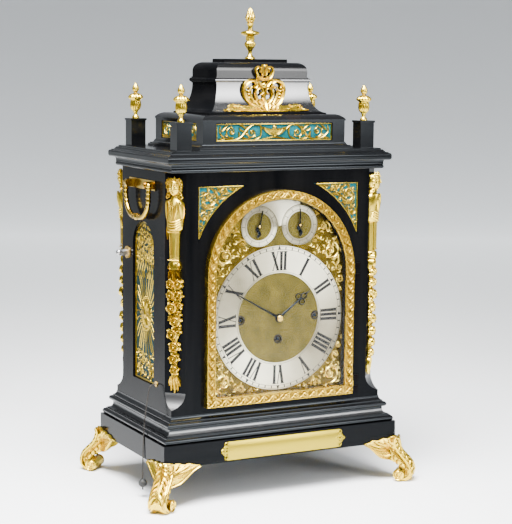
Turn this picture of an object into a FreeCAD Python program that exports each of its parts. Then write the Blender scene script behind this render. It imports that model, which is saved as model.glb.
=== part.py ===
import FreeCAD, Part
import math
import os
from FreeCAD import Vector

# Bracket clock: ebonised case, gilt brass mounts, arched bezel door and a three-train spring movement.
# The front faces -Y, the floor is z = 0 and the origin is under the middle of the case.

# Heights of the stages of the case, from the floor up
foot_height = 57.0
plinth_height = 32.0
base_moulding_height = 37.0
body_height = 342.0
cornice_height = 30.0
frieze_base_height = 9.0
frieze_height = 31.0
frieze_cap_height = 9.0
bell_lower_height = 44.0
bell_bead_height = 9.0
cushion_height = 21.0
top_plate_height = 5.0
top_finial_height = 75.0

# Plan sizes of the stages
body_width = 341.0
body_depth = 199.0
plinth_projection = 19.5
cornice_projection = 10.0
frieze_width = 230.0
frieze_depth = 164.0
frieze_base_projection = 9.0
frieze_cap_overhang = 1.2
frieze_cap_inset = 10.0
frieze_cap_lip = 2.0
bell_width = 148.0
bell_depth = 82.0
bell_flare = 21.0
bell_foot_lip = 2.0
bell_bead_projection = 3.7
cushion_round = 12.0
top_plate_width = 104.0
top_plate_depth = 38.0

# Boards
plinth_board = 14.0
baseboard_thickness = 12.0
moulding_backing = 20.0
top_board_thickness = 12.0
frieze_board = 10.0
bell_wall = 12.0
cushion_wall = 24.0
side_thickness = 12.0
front_thickness = 12.0
back_thickness = 12.0
mitre_reach = 30.0
overrun = 1.0

# Canted corner posts, with a scooped stop at the foot of each cant
post_size = 26.0
cant = 22.4
scoop_rise = 31.0
scoop_radius = 24.0

# Front frame and its arch
arch_spring_rise = 196.0
bezel_sill = 9.0
bezel_half_width = 119.5
bezel_band = 13.5
bezel_lip = 2.0
bezel_overlap = 8.5
bezel_depth = 12.0
bezel_edge_depth = 5.0
bezel_crown_band = 6.0
bezel_lip_depth = 2.5
bezel_bulge_share = 0.22
door_gap = 0.3
bezel_glass_thickness = 2.0
spandrel_outer = 129.5
spandrel_top_rise = 323.0
spandrel_radius = 138.0

# Frets and the silk behind them
fret_thickness = 1.5
silk_thickness = 0.6
fret_gap = 0.2
fret_recess = 2.6
fret_margin = 4.0
frieze_fret_length = 189.0
frieze_side_fret_length = 121.0
frieze_fret_height = 26.0
side_window_width = 76.0
side_window_sill = 33.0
side_window_spring = 229.0
side_fret_recess = 3.5
fret_hole = 3.0
fret_pitch = 9.0
spandrel_fret_hole = 4.0

# Back frame and glazed back door
back_stile = 12.5
back_rail = 20.0
back_door_rail = 24.0
back_glass_thickness = 2.0

# Hinges: leaves screwed to the case, pins in knuckles
knuckle_radius = 2.6
knuckle_length = 8.0
knuckle_gap = 0.2
hinge_pin_radius = 1.2
hinge_leaf_width = 12.0
hinge_leaf = 1.2
pin_clearance = 0.06
bezel_hinge_low = 19.0
bezel_hinge_high = 187.0
bezel_hinge_offset = 3.0
back_hinge_low = 80.0
back_hinge_high = 262.0

# Pedestals, urns and finial
pedestal_size = 22.5
pedestal_height = 40.0
pedestal_cap = 3.0
pedestal_cap_overhang = 1.2
pedestal_spacing_x = 296.0
pedestal_spacing_y = 161.0
urn_radius = 11.4
urn_height = 52.0
top_finial_radius = 14.0

# Crest mount on the front of the bell
crest_width = 138.0
crest_height = 70.0
crest_thickness = 3.0
crest_gap = 0.3
crest_hole_radius = 10.0

# Corner figures
figure_rise = 32.0
figure_head_gap = 6.0
figure_radius = 14.5
drop_share = 0.575
drop_clusters = 9
cluster_first_share = 0.4
cluster_growth_share = 0.46
cluster_neck_share = 0.55

# Bracket feet
foot_reach = 30.0
foot_leg_width = 20.0
foot_scroll_width = 38.0
foot_scroll_radius = 9.5
foot_scroll_reach = 8.5
foot_wing = 55.0
foot_wing_thickness = 4.0
foot_lap = 9.5
foot_wing_drop = 29.0
foot_pad = 30.0
foot_pad_thickness = 4.0
foot_flat = 0.8

# Plinth plaque
plaque_length = 204.0
plaque_body_length = 184.0
plaque_height = 27.0
plaque_rise = 2.5
plaque_thickness = 1.2
plaque_pin_radius = 1.5
plaque_pin_head = 0.8

# Bail handles and their lugs
handle_drop_from_cornice = 21.0
handle_drop = 47.0
handle_half_width = 41.0
handle_rod = 3.2
handle_bend = 20.0
handle_eye = 4.2
handle_standoff = 9.5
trunnion_radius = 2.2
lug_half_span = 33.0
lug_width = 6.0
lug_radius = 5.5
lug_plate = 2.0
lug_plate_height = 14.0
lug_plate_length = 92.0

# Dial and hands
dial_setback = 3.0
dial_thickness = 2.0
dial_gap = 0.5
dial_drop = 66.7
chapter_outer = 105.0
chapter_inner = 65.8
ring_thickness = 1.4
sub_dial_rise = 133.7
sub_dial_spread = 33.0
sub_dial_outer = 28.7
sub_dial_inner = 20.0
spandrel_mount_thickness = 2.2
spandrel_mount_margin = 1.5
spandrel_mount_waist = 46.0
plaque_gap = 1.2
arch_plaque_thickness = 1.2
arch_plaque_margin = 3.0
winder_spread = 61.0
winder_drop = 31.0
winding_hole = 3.9
dial_foot_radius = 2.5
hand_thickness = 1.2
hour_hand_gap = 1.3
minute_hand_gap = 1.8
hour_hand_length = 62.7
minute_hand_length = 100.0
hour_hand_stem = 3.0
minute_hand_stem = 2.4
hour_hand_leaf = 12.0
minute_hand_leaf = 6.0
hour_leaf_share = 0.82
minute_leaf_share = 0.72
hour_boss = 6.5
minute_boss = 5.2
hand_fit = 0.02
hour_hand_angle = 53.5
minute_hand_angle = -61.0
sub_hand_length = 21.0
sub_hand_tail = 13.0
sub_hand_stem = 1.6
sub_hand_tail_width = 5.0
sub_hand_swell_share = 0.6
sub_hand_boss = 3.0
sub_hand_arbor = 1.4
sub_hand_gap = 1.2
sub_hand_collar = 3.0
sub_hand_collar_thickness = 1.0
sub_hand_collar_gap = 0.4
left_sub_hand_angle = 12.0
right_sub_hand_angle = 0.0

# Movement plates and seat
motion_space = 15.0
plate_thickness = 3.0
plate_distance = 56.0
plate_width = 190.0
plate_height = 188.0
seat_rise = 36.0
seat_thickness = 12.0
seat_clearance = 0.5
seat_back_edge = 2.5
bearer_height = 12.0
bearer_width = 28.0
pillar_radius = 5.0
pillar_place_shares = ((-0.9, 0.06), (0.9, 0.06), (-0.9, 0.95), (0.9, 0.95), (0.0, 0.07))
running_clearance = 0.06

# Motion work: cannon wheel drives the minute wheel, whose pinion drives the hour wheel
motion_centres = 24.0
cannon_teeth = 20
minute_wheel_teeth = 60
minute_pinion_teeth = 15
hour_wheel_teeth = 60
motion_wheel_thickness = 2.5
cannon_wheel_standoff = 2.0
hour_wheel_standoff = 7.0
centre_arbor_radius = 1.6
cannon_pipe_radius = 2.6
hour_pipe_radius = 4.0
dial_pipe_hole = 4.7
minute_stud_radius = 1.5
addendum_share = 0.8
dedendum_share = 1.1
tooth_tip_share = 0.16
tooth_root_share = 0.52

# Barrels and winding arbors
barrel_radius = 27.0
barrel_length = 26.0
barrel_wall = 2.5
barrel_standoff = 4.5
great_wheel_radius = 28.5
great_wheel_teeth = 48
great_wheel_thickness = 2.5
winder_radius = 3.0
winder_pivot_radius = 2.0
winder_square = 4.6
winder_square_length = 8.0
winder_end_inset = 0.6

# Going, strike and chime trains
wheel_thickness = 2.0
wheel_arbor = 1.8
train_wheel_teeth = 40
train_tooth = 1.4
centre_wheel_radius = 21.0
centre_wheel_back = 18.5
third_wheel_radius = 15.5
third_wheel_back = 12.0
third_across = 15.0
third_rise = 20.0
side_wheel_radius = 17.0
side_wheel_small = 11.0
side_wheel_shares = ((0.55, 0.735), (0.84, 0.815))

# Escapement and pendulum
escape_rise = 31.0
escape_radius = 15.0
escape_teeth = 30
escape_tooth_depth = 3.0
escape_tip_share = 0.1
escape_root_share = 0.4
escape_back = 7.0
escape_pivot = 1.2
escape_pinion = 2.2
pallet_rise = 21.2
pallet_clearance = 0.3
pallet_width = 1.1
pallet_length = 4.0
pallet_arm = 2.4
pallet_arbor = 1.6
pallet_span_angle = 45.0
crutch_gap = 2.0
crutch_thickness = 2.0
crutch_width = 3.0
crutch_drop = 40.0
fork_gap = 0.3
fork_arm = 2.0
cock_width = 28.0
cock_height = 16.0
cock_rise = 12.0
cock_reach = 17.5
cock_cheek = 3.0
suspension_pin = 1.2
pendulum_eye = 3.4
pendulum_eye_length = 4.0
pendulum_rod = 1.5
pendulum_length = 125.0
bob_radius = 26.0
bob_thickness = 10.0
bob_edge = 3.0
bob_bulge_share = 0.8
rating_nut_radius = 4.0
rating_nut_height = 6.0

# Coil gong on its stand, and the strike hammer
gong_wire = 1.6
gong_inner_radius = 21.0
gong_pitch = 8.0
gong_half_turns = 7
gong_behind_plate = 31.5
gong_rise = 38.0
gong_stand_width = 16.0
gong_stand_depth = 12.0
gong_tail = 16.0
hammer_rise = 168.0
hammer_arbor = 2.0
hammer_arm = 3.0
hammer_head_radius = 5.0
hammer_head_length = 11.0
hammer_gap = 0.6

# Side knob with its turn button, and the cord bush
knob_back = 57.0
knob_rise = 216.0
knob_spindle = 2.0
knob_rose_radius = 9.0
knob_rose_thickness = 2.0
knob_shank_radius = 5.0
knob_shank_length = 8.0
knob_ball_radius = 4.5
button_length = 20.0
button_width = 7.0
button_thickness = 2.5
button_gap = 1.0
bush_radius = 2.4
bush_flange_radius = 4.0
bush_flange = 1.2
cord_front = 48.0
cord_rise = 37.6

# Pull cord: straight out of the bush, down to the edge of the plinth, then hanging
cord_diameter = 1.6
cord_route = [(-171.7, -48.0, 163.6), (-180.5, -48.0, 163.6), (-183.0, -48.0, 152.0),
              (-191.9, -48.2, 93.5), (-192.1, -48.6, 27.0)]
cord_bend_share = 0.45
cord_edge_point = 3
cord_edge_radius = 8.0
ball_radius = 6.2
ball_flat = 1.6
ball_tail = 3.5
ball_tail_radius = 1.0

# Levels and planes worked out from the sizes above
z_plinth = foot_height
z_moulding = z_plinth + plinth_height
z_body = z_moulding + base_moulding_height
z_cornice = z_body + body_height
z_deck = z_cornice + cornice_height
z_frieze = z_deck + frieze_base_height
z_cap = z_frieze + frieze_height
z_bell = z_cap + frieze_cap_height
z_bead = z_bell + bell_lower_height
z_cushion = z_bead + bell_bead_height
z_top_plate = z_cushion + cushion_height
z_finial = z_top_plate + top_plate_height

half_width = body_width / 2
half_depth = body_depth / 2
y_face = -half_depth
y_inner = y_face + front_thickness
x_inner = half_width - side_thickness
post_x = half_width - post_size
post_y = half_depth - post_size

figure_height = body_height - figure_rise - figure_head_gap
arch_spring = z_body + arch_spring_rise
sight_half = bezel_half_width - bezel_band
sill_level = z_body + bezel_sill
opening_half = bezel_half_width - bezel_overlap
opening_bottom = sill_level + bezel_overlap
dial_half = opening_half - dial_gap
dial_bottom = opening_bottom + dial_gap
dial_centre = arch_spring - dial_drop
sub_dial_level = dial_centre + sub_dial_rise
spandrel_top = z_body + spandrel_top_rise
fret_pocket = fret_recess + silk_thickness

y_dial = y_face + dial_setback
y_dial_back = y_dial + dial_thickness
y_ring = y_dial - ring_thickness
y_front_plate = y_dial_back + motion_space
y_between = y_front_plate + plate_thickness
y_back_plate = y_between + plate_distance
y_behind = y_back_plate + plate_thickness
y_hour_hand = y_ring - hour_hand_gap
y_minute_hand = y_hour_hand - hand_thickness - minute_hand_gap
y_gong = y_behind + gong_behind_plate

seat_top = z_body + seat_rise
cannon_module = 2 * motion_centres / (cannon_teeth + minute_wheel_teeth)
pinion_module = 2 * motion_centres / (minute_pinion_teeth + hour_wheel_teeth)
y_cannon_wheel = y_front_plate - cannon_wheel_standoff - motion_wheel_thickness
y_hour_wheel = y_front_plate - hour_wheel_standoff - motion_wheel_thickness
escape_level = dial_centre + escape_rise
pallet_level = escape_level + pallet_rise
winder_places = {"strike_winder": (-winder_spread, dial_centre),
                 "going_winder": (0, dial_centre - winder_drop),
                 "chime_winder": (winder_spread, dial_centre)}
handle_level = z_cornice - handle_drop_from_cornice
handle_x = half_width + handle_standoff
knob_level = z_body + knob_rise
pendulum_y = y_behind + cock_reach - cock_cheek - pendulum_eye_length
gong_level = seat_top + gong_rise
gong_outer_radius = gong_inner_radius + gong_pitch * (gong_half_turns - 1) / 2
hammer_level = seat_top + hammer_rise
hammer_x = gong_outer_radius + gong_wire + hammer_gap + hammer_head_length / 2

UP = Vector(0, 0, 1)
BACK = Vector(0, 1, 0)
RIGHT = Vector(1, 0, 0)
ORIGIN = Vector(0, 0, 0)


# Drawing aids

def in_front(y):
    return lambda x, z: Vector(x, y, z)


def from_side(x):
    return lambda y, z: Vector(x, y, z)


def from_above(z):
    return lambda x, y: Vector(x, y, z)


def outline(start, moves, place):
    """Closed face from a start point and moves: two numbers draw a line, four draw an arc through a point."""
    edges = []
    here = start
    for move in moves:
        end = tuple(move[-2:])
        if len(move) == 2:
            edges.append(Part.LineSegment(place(*here), place(*end)).toShape())
        else:
            edges.append(Part.Arc(place(*here), place(*move[:2]), place(*end)).toShape())
        here = end
    if here != start:
        edges.append(Part.LineSegment(place(*here), place(*start)).toShape())
    return Part.Face(Part.Wire(edges))


def arc_to(centre, start, end):
    """Move along the arc about a centre from one point to another, the short way round."""
    across = (start[0] + end[0] - 2 * centre[0], start[1] + end[1] - 2 * centre[1])
    radius = math.hypot(start[0] - centre[0], start[1] - centre[1])
    reach = radius / math.hypot(*across)
    return (centre[0] + across[0] * reach, centre[1] + across[1] * reach, end[0], end[1])


def scaled(shares, width, height, level):
    """Outline points from shares of a width and a height above a level."""
    moves = []
    for share in shares:
        values = [share[i] * width if i % 2 == 0 else level + share[i] * height for i in range(len(share))]
        moves.append(tuple(values))
    return moves


def block(x0, x1, y0, y1, z0, z1):
    return Part.makeBox(x1 - x0, y1 - y0, z1 - z0, Vector(x0, y0, z0))


def rod(radius, start, end):
    return Part.makeCylinder(radius, (end - start).Length, start, end - start)


def turned(moves, x, y):
    """Solid turned about an upright axis from moves that start and end on the axis."""
    face = outline(moves[0], moves[1:], lambda radius, z: Vector(x + radius, y, z))
    return face.revolve(Vector(x, y, 0), UP, 360)


def joined(pieces):
    """One solid from touching or overlapping pieces."""
    whole = pieces[0].fuse(pieces[1:]) if len(pieces) > 1 else pieces[0]
    return whole.removeSplitter()


def mirrored(shape):
    """The same shape on the other side of the middle plane."""
    return shape.mirror(ORIGIN, RIGHT)


def four_corners(shape, corner_x, corner_y):
    """Copies of a shape, drawn at the back right corner, on all four corners of a rectangle."""
    copies = []
    for turn, side_x, side_y in ((0, 1, 1), (90, -1, 1), (180, -1, -1), (270, 1, -1)):
        copy = shape.copy()
        copy.rotate(ORIGIN, UP, turn)
        copy.translate(Vector(side_x * corner_x, side_y * corner_y, 0))
        copies.append(copy)
    return copies


def mitred_frame(start, moves, frame_half_width, frame_half_depth):
    """Four mitred lengths of one section: each point is a distance outside the rectangle and a height."""
    lengths = []
    sides = ((frame_half_depth, frame_half_width), (frame_half_width, frame_half_depth)) * 2
    for quarter, (across, along) in enumerate(sides):
        reach = along + mitre_reach
        section = outline(start, moves, lambda out, z: Vector(-reach, -across - out, z))
        length = section.extrude(Vector(2 * reach, 0, 0))
        box = section.BoundBox
        far = across + mitre_reach
        near = across - mitre_reach
        wedge = outline((-reach, -far), [(reach, -far), (along - mitre_reach, -near),
                                         (mitre_reach - along, -near)], from_above(box.ZMin))
        length = length.common(wedge.extrude(Vector(0, 0, box.ZLength)))
        length.rotate(ORIGIN, UP, 90 * quarter)
        lengths.append(length)
    return lengths


def arch_face(half, bottom, y):
    """Upright face with a round head on the common springing line."""
    head = (half, arch_spring)
    return outline((-half, bottom), [(half, bottom), head, (0, arch_spring + half, -half, arch_spring)],
                   in_front(y))


def toothed_wheel(teeth, pitch_radius, addendum, dedendum, tip_share, root_share, middle, thickness, phase):
    """Toothed disc on an axis along Y; phase is the angle of one tooth, measured from +X towards +Z."""
    tip = pitch_radius + addendum
    root = pitch_radius - dedendum
    step = 2 * math.pi / teeth
    points = []
    for number in range(teeth):
        angle = phase + number * step
        for radius, share in ((root, -root_share), (tip, -tip_share), (tip, tip_share), (root, root_share)):
            turn = angle + share * step / 2
            points.append(middle + Vector(radius * math.cos(turn), 0, radius * math.sin(turn)))
    wire = Part.makePolygon(points + points[:1])
    return Part.Face(wire).extrude(Vector(0, thickness, 0))


# Case, from the floor up

def bracket_feet():
    """Scrolled casting at each plinth corner: two wings on the faces, a leg on the diagonal, a rolled toe."""
    leg_shares = ((-0.5, 1.0), (0.1, 1.0), (0.24, 0.83), (0.42, 0.69), (0.7, 0.56), (0.85, 0.55),
                  (1.03, 0.3, 0.9, 0.1), (0.6, 0.0), (0.2, 0.0), (0.26, 0.37), (0.03, 0.47), (-0.3, 0.53))
    diagonal = math.sqrt(0.5)
    moves = scaled(leg_shares, foot_reach, foot_height, 0)

    def on_diagonal(out, z):
        shift = foot_leg_width / 2 * diagonal
        return Vector(out * diagonal + shift, out * diagonal - shift, z)

    leg = outline(moves[0], moves[1:], on_diagonal)
    leg = leg.extrude(Vector(-foot_leg_width * diagonal, foot_leg_width * diagonal, 0))
    toe = Vector(foot_scroll_reach * diagonal, foot_scroll_reach * diagonal, foot_scroll_radius - foot_flat)
    roll = Vector(-diagonal, diagonal, 0) * (foot_scroll_width / 2)
    scroll = rod(foot_scroll_radius, toe - roll, toe + roll)
    upper_shares = ((0.0, 1.0), (-0.28, 0.74), (-0.4, 0.5), (-0.56, 0.6), (-0.84, 0.24), (-1.0, 0.2))
    lower_shares = ((-1.0, -0.05), (-0.83, -0.15), (-0.7, -0.37), (-0.56, -0.6), (-0.43, -0.78),
                    (-0.17, -0.9), (0.0, -1.0))
    upper = [(share * foot_wing, z_plinth + height * foot_lap) for share, height in upper_shares]
    lower = [(share * foot_wing, z_plinth + height * foot_wing_drop) for share, height in lower_shares]
    start = (foot_wing_thickness, z_plinth - foot_wing_drop)
    corner = (foot_wing_thickness, z_plinth + foot_lap)
    wing = outline(start, [corner] + upper + lower, in_front(0)).extrude(Vector(0, foot_wing_thickness, 0))
    side_wing = wing.mirror(ORIGIN, Vector(diagonal, -diagonal, 0))
    pad = block(-foot_pad, 0, -foot_pad, 0, z_plinth - foot_pad_thickness, z_plinth)
    foot = joined([leg, scroll, wing, side_wing, pad])
    below = block(-body_width, body_width, -body_width, body_width, -foot_height, 0)
    foot = foot.cut(below)
    return four_corners(foot, half_width + plinth_projection, half_depth + plinth_projection)


def baseboard():
    inset = plinth_projection - plinth_board
    half_x = half_width + inset
    half_y = half_depth + inset
    return [block(-half_x, half_x, -half_y, half_y, z_plinth, z_plinth + baseboard_thickness)]


def plinth_boards():
    inner = plinth_projection - plinth_board
    start = (inner, z_plinth)
    moves = [(plinth_projection, z_plinth), (plinth_projection, z_moulding), (inner, z_moulding)]
    return mitred_frame(start, moves, half_width, half_depth)


def base_moulding():
    """From the plinth up: bead, two fillets, cavetto, torus and a small ogee into the body."""
    base_shares = ((0.74, 0.0), (0.88, 0.108, 0.74, 0.216), (0.69, 0.216), (0.69, 0.251), (0.59, 0.251),
                   (0.59, 0.286), (0.343, 0.34, 0.241, 0.47), (0.241, 0.554), (0.31, 0.567),
                   (0.497, 0.67, 0.31, 0.773), (0.262, 0.773), (0.262, 0.824), (0.1, 0.88, 0.03, 1.0))
    moves = scaled(base_shares, plinth_projection, base_moulding_height, z_moulding)
    moves.append((-moulding_backing, z_body))
    return mitred_frame((-moulding_backing, z_moulding), moves, half_width, half_depth)


def corner_posts():
    """Square posts with a canted outer corner that ends below in a scooped stop."""
    post = block(-post_size, 0, -post_size, 0, z_body, z_cornice)
    diagonal = math.sqrt(0.5)
    plane = -cant * diagonal
    turn = z_body + scoop_rise
    low = (plane + scoop_radius, turn - scoop_radius)
    outside = plane + 2 * scoop_radius
    across = 2 * post_size
    start = (plane, z_cornice + overrun)

    def on_diagonal(out, z):
        return Vector((out + across) * diagonal, (out - across) * diagonal, z)

    moves = [(plane, turn), arc_to((plane + scoop_radius, turn), (plane, turn), low), (outside, low[1]),
             (outside, z_cornice + overrun)]
    cutter = outline(start, moves, on_diagonal).extrude(Vector(-1, 1, 0) * (2 * across * diagonal))
    return four_corners(post.cut(cutter), half_width, half_depth)


def side_frames():
    """Stiles, sill rail and arched head of each side, round the sound fret."""
    window = side_window_width / 2
    sill = z_body + side_window_sill
    spring = z_body + side_window_spring
    rail = block(x_inner, half_width, -post_y, post_y, z_body, sill)
    head = block(x_inner, half_width, -post_y, post_y, spring, z_cornice)
    middle = Vector(x_inner - overrun, 0, spring)
    head = head.cut(rod(window, middle, middle + RIGHT * (side_thickness + 2 * overrun)))
    front_stile = block(x_inner, half_width, -post_y, -window, sill, spring)
    rear_stile = block(x_inner, half_width, window, post_y, sill, spring)
    right = [rail, head, front_stile, rear_stile]
    left = [mirrored(piece) for piece in right]
    cord_hole = Vector(-half_width - overrun, -cord_front, z_body + cord_rise)
    knob_hole = Vector(-half_width - overrun, knob_back, knob_level)
    through = RIGHT * (side_thickness + 2 * overrun)
    left[2] = left[2].cut(rod(bush_radius + running_clearance, cord_hole, cord_hole + through))
    left[3] = left[3].cut(rod(knob_spindle + running_clearance, knob_hole, knob_hole + through))
    return right + left


def spandrel_face(gap, y):
    """Corner panel above the arch: straight at the top and outer side, round below."""
    outer = spandrel_outer - gap
    top = spandrel_top - gap
    radius = spandrel_radius + gap
    inner_end = (math.sqrt(radius ** 2 - (top - arch_spring) ** 2), top)
    lower_end = (outer, arch_spring + math.sqrt(radius ** 2 - outer ** 2))
    moves = [(outer, top), lower_end, arc_to((0, arch_spring), lower_end, inner_end)]
    return outline(inner_end, moves, in_front(y))


def front_frame():
    """Two stiles, a sill rail and an arched head with a pocket for each spandrel fret."""
    sill = block(-post_x, post_x, y_face, y_inner, z_body, opening_bottom)
    head = block(-post_x, post_x, y_face, y_inner, arch_spring, z_cornice)
    middle = Vector(0, y_face - overrun, arch_spring)
    head = head.cut(rod(opening_half, middle, middle + BACK * (front_thickness + 2 * overrun)))
    pocket = spandrel_face(0, y_face - overrun).extrude(Vector(0, overrun + fret_pocket, 0))
    head = head.cut([pocket, mirrored(pocket)])
    stile = block(opening_half, post_x, y_face, y_inner, opening_bottom, arch_spring)
    return [sill, head, stile, mirrored(stile)]


def back_frame():
    inner = half_depth - back_thickness
    low = block(-post_x, post_x, inner, half_depth, z_body, z_body + back_rail)
    high = block(-post_x, post_x, inner, half_depth, z_cornice - back_rail, z_cornice)
    stile = block(post_x - back_stile, post_x, inner, half_depth, z_body + back_rail, z_cornice - back_rail)
    return [low, high, stile, mirrored(stile)]


def cornice_moulding():
    """Bead, cavetto and ovolo under the corona, then steps back to the deck."""
    cornice_shares = ((0.02, 0.0), (0.15, 0.09, 0.02, 0.18), (0.1, 0.18), (0.1, 0.23),
                      (0.13, 0.35, 0.26, 0.42), (0.7, 0.42), (0.92, 0.47, 0.98, 0.56), (0.98, 0.66),
                      (0.9, 0.73, 0.64, 0.76), (0.64, 0.8), (0.3, 0.82, 0.18, 0.88), (0.08, 0.88),
                      (0.08, 0.93), (-0.2, 0.93), (-0.2, 1.0))
    moves = scaled(cornice_shares, cornice_projection, cornice_height, z_cornice)
    moves.append((-moulding_backing, z_deck))
    return mitred_frame((-moulding_backing, z_cornice), moves, half_width, half_depth)


def top_board():
    half_x = half_width - moulding_backing
    half_y = half_depth - moulding_backing
    return [block(-half_x, half_x, -half_y, half_y, z_deck - top_board_thickness, z_deck)]


def frieze_mouldings():
    """Stepped moulding under the frieze and the sloping cap over it."""
    frieze_base_shares = ((1.0, 0.0), (1.0, 0.3), (0.74, 0.36), (0.74, 0.5), (0.36, 0.56, 0.2, 0.86),
                          (0.12, 0.86), (0.12, 1.0))
    half_x = frieze_width / 2
    half_y = frieze_depth / 2
    moves = scaled(frieze_base_shares, frieze_base_projection, frieze_base_height, z_deck)
    moves.append((-frieze_board, z_frieze))
    base = mitred_frame((-frieze_board, z_deck), moves, half_x, half_y)
    lip = (frieze_cap_overhang, z_cap + frieze_cap_lip)
    edge = (-frieze_cap_inset, z_bell)
    backing = -frieze_cap_inset - frieze_board - bell_wall
    bulge = ((lip[0] + edge[0]) / 2, z_bell - frieze_cap_lip)
    moves = [(frieze_cap_overhang, z_cap), lip, bulge + edge, (backing, z_bell), (backing, z_cap)]
    cap = mitred_frame((-frieze_board, z_cap), moves, half_x, half_y)
    return base + cap


def frieze_boards():
    """Four mitred boards, each with a shallow pocket for its fret."""
    start = (-frieze_board, z_frieze)
    moves = [(0, z_frieze), (0, z_cap), (-frieze_board, z_cap)]
    boards = mitred_frame(start, moves, frieze_width / 2, frieze_depth / 2)
    pockets = frieze_panels(0, fret_pocket + overrun, -overrun)
    return [board.cut(pockets) for board in boards]


def frieze_panels(gap, thickness, depth):
    """Upright panels in the four frieze faces, a stated depth behind the face."""
    z0 = (z_frieze + z_cap - frieze_fret_height) / 2 + gap
    z1 = (z_frieze + z_cap + frieze_fret_height) / 2 - gap
    half_x = frieze_fret_length / 2 - gap
    half_y = frieze_side_fret_length / 2 - gap
    face_y = frieze_depth / 2 - depth
    face_x = frieze_width / 2 - depth
    return [block(-half_x, half_x, -face_y, thickness - face_y, z0, z1),
            block(-half_x, half_x, face_y - thickness, face_y, z0, z1),
            block(-face_x, thickness - face_x, -half_y, half_y, z0, z1),
            block(face_x - thickness, face_x, -half_y, half_y, z0, z1)]


def bell_lower():
    """Concave lower bell: a flared foot under an upright neck."""
    foot = (bell_flare, z_bell + bell_foot_lip)
    neck = (0, foot[1] + bell_flare)
    moves = [(bell_flare, z_bell), foot, arc_to((bell_flare, neck[1]), foot, neck), (0, z_bead),
             (-bell_wall, z_bead)]
    return mitred_frame((-bell_wall, z_bell), moves, bell_width / 2, bell_depth / 2)


def bell_upper():
    """Bead on the neck of the bell, and the rounded cushion over it."""
    bead_shares = ((0.35, 0.0), (0.35, 0.18), (0.6, 0.18), (1.0, 0.5, 0.6, 0.82), (0.35, 0.82), (0.35, 1.0))
    half_x = bell_width / 2
    half_y = bell_depth / 2
    moves = scaled(bead_shares, bell_bead_projection, bell_bead_height, z_bead)
    moves.append((-cushion_wall, z_cushion))
    bead = mitred_frame((-cushion_wall, z_bead), moves, half_x, half_y)
    shoulder = (0, z_top_plate - cushion_round)
    top = (-cushion_round, z_top_plate)
    moves = [(0, z_cushion), shoulder, arc_to((-cushion_round, shoulder[1]), shoulder, top),
             (-cushion_wall, z_top_plate)]
    return bead + mitred_frame((-cushion_wall, z_cushion), moves, half_x, half_y)


def bell_top_plate():
    half_x = top_plate_width / 2
    half_y = top_plate_depth / 2
    return [block(-half_x, half_x, -half_y, half_y, z_top_plate, z_finial)]


def pedestals():
    """Square posts on the cornice corners, each with a thin cap."""
    half = pedestal_size / 2
    wide = half + pedestal_cap_overhang
    top = z_deck + pedestal_height
    shaft = block(-half, half, -half, half, z_deck, top - pedestal_cap)
    cap = block(-wide, wide, -wide, wide, top - pedestal_cap, top)
    return four_corners(joined([shaft, cap]), pedestal_spacing_x / 2, pedestal_spacing_y / 2)


def urn_finials():
    """Turned urns: foot, thin stem, lobed bowl, mushroom lid and a pointed bud."""
    urn_shares = ((0.0, 0.0), (0.46, 0.0), (0.46, 0.06), (0.27, 0.09), (0.24, 0.17), (0.5, 0.23),
                  (0.75, 0.36, 0.66, 0.5), (0.86, 0.53), (1.0, 0.58, 0.9, 0.64), (0.5, 0.7), (0.16, 0.73),
                  (0.16, 0.77), (0.4, 0.86, 0.2, 0.95), (0.0, 1.0))
    level = z_deck + pedestal_height
    urn = turned(scaled(urn_shares, urn_radius, urn_height, level), 0, 0)
    return four_corners(urn, pedestal_spacing_x / 2, pedestal_spacing_y / 2)


def top_finial():
    """Turned finial: spreading foot, bulb, fluted cup, broad disc and a pointed bud."""
    finial_shares = ((0.0, 0.0), (0.54, 0.0), (0.54, 0.03), (0.3, 0.06, 0.22, 0.12), (0.22, 0.17),
                     (0.42, 0.2), (0.62, 0.28, 0.46, 0.345), (0.46, 0.44), (0.8, 0.455), (0.98, 0.48),
                     (1.0, 0.5), (0.96, 0.53), (0.6, 0.545), (0.28, 0.555), (0.24, 0.62), (0.36, 0.69),
                     (0.48, 0.72), (0.5, 0.8, 0.22, 0.93), (0.0, 1.0))
    return [turned(scaled(finial_shares, top_finial_radius, top_finial_height, z_finial), 0, 0)]


def crest_mount():
    """Pierced crest that follows the flare of the bell and stands upright in front of its bead."""
    crest_shares = ((0.5, 0.02), (0.46, 0.2), (0.2, 0.24), (0.25, 0.5), (0.13, 0.66), (0.06, 0.7),
                    (0.1, 0.94), (0.0, 1.0))
    low = z_bell + bell_foot_lip
    right = [(share * crest_width, low + height * crest_height) for share, height in crest_shares]
    left = [(-x, z) for x, z in reversed(right[:-1])]
    front = outline((0, low), right + left, in_front(-frieze_depth)).extrude(Vector(0, frieze_depth, 0))
    eye = Vector(0, -frieze_depth, low + crest_height / 2)
    hole = rod(crest_hole_radius, eye, eye + BACK * frieze_depth)
    bend = low + bell_flare
    hollow = (bell_flare, bend)
    stand = bell_bead_projection + crest_gap
    face = stand + crest_thickness
    foot = (bell_flare, bend - bell_flare + stand)
    front_foot = (bell_flare, foot[1] + crest_thickness)
    top = low + crest_height + overrun
    moves = [arc_to(hollow, foot, (stand, bend)), (stand, top), (face, top), (face, bend),
             arc_to(hollow, (face, bend), front_foot)]
    sheet = outline(foot, moves, lambda out, z: Vector(-crest_width, -bell_depth / 2 - out, z))
    sheet = sheet.extrude(Vector(2 * crest_width, 0, 0))
    return [sheet.common(front).cut(hole)]


# Mounts on the faces of the case

def pierced(plate, centres, radius, direction):
    """A plate with round piercings."""
    holes = [rod(radius, centre - direction * overrun, centre + direction * (fret_thickness + overrun))
             for centre in centres]
    return plate.cut(holes)


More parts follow.
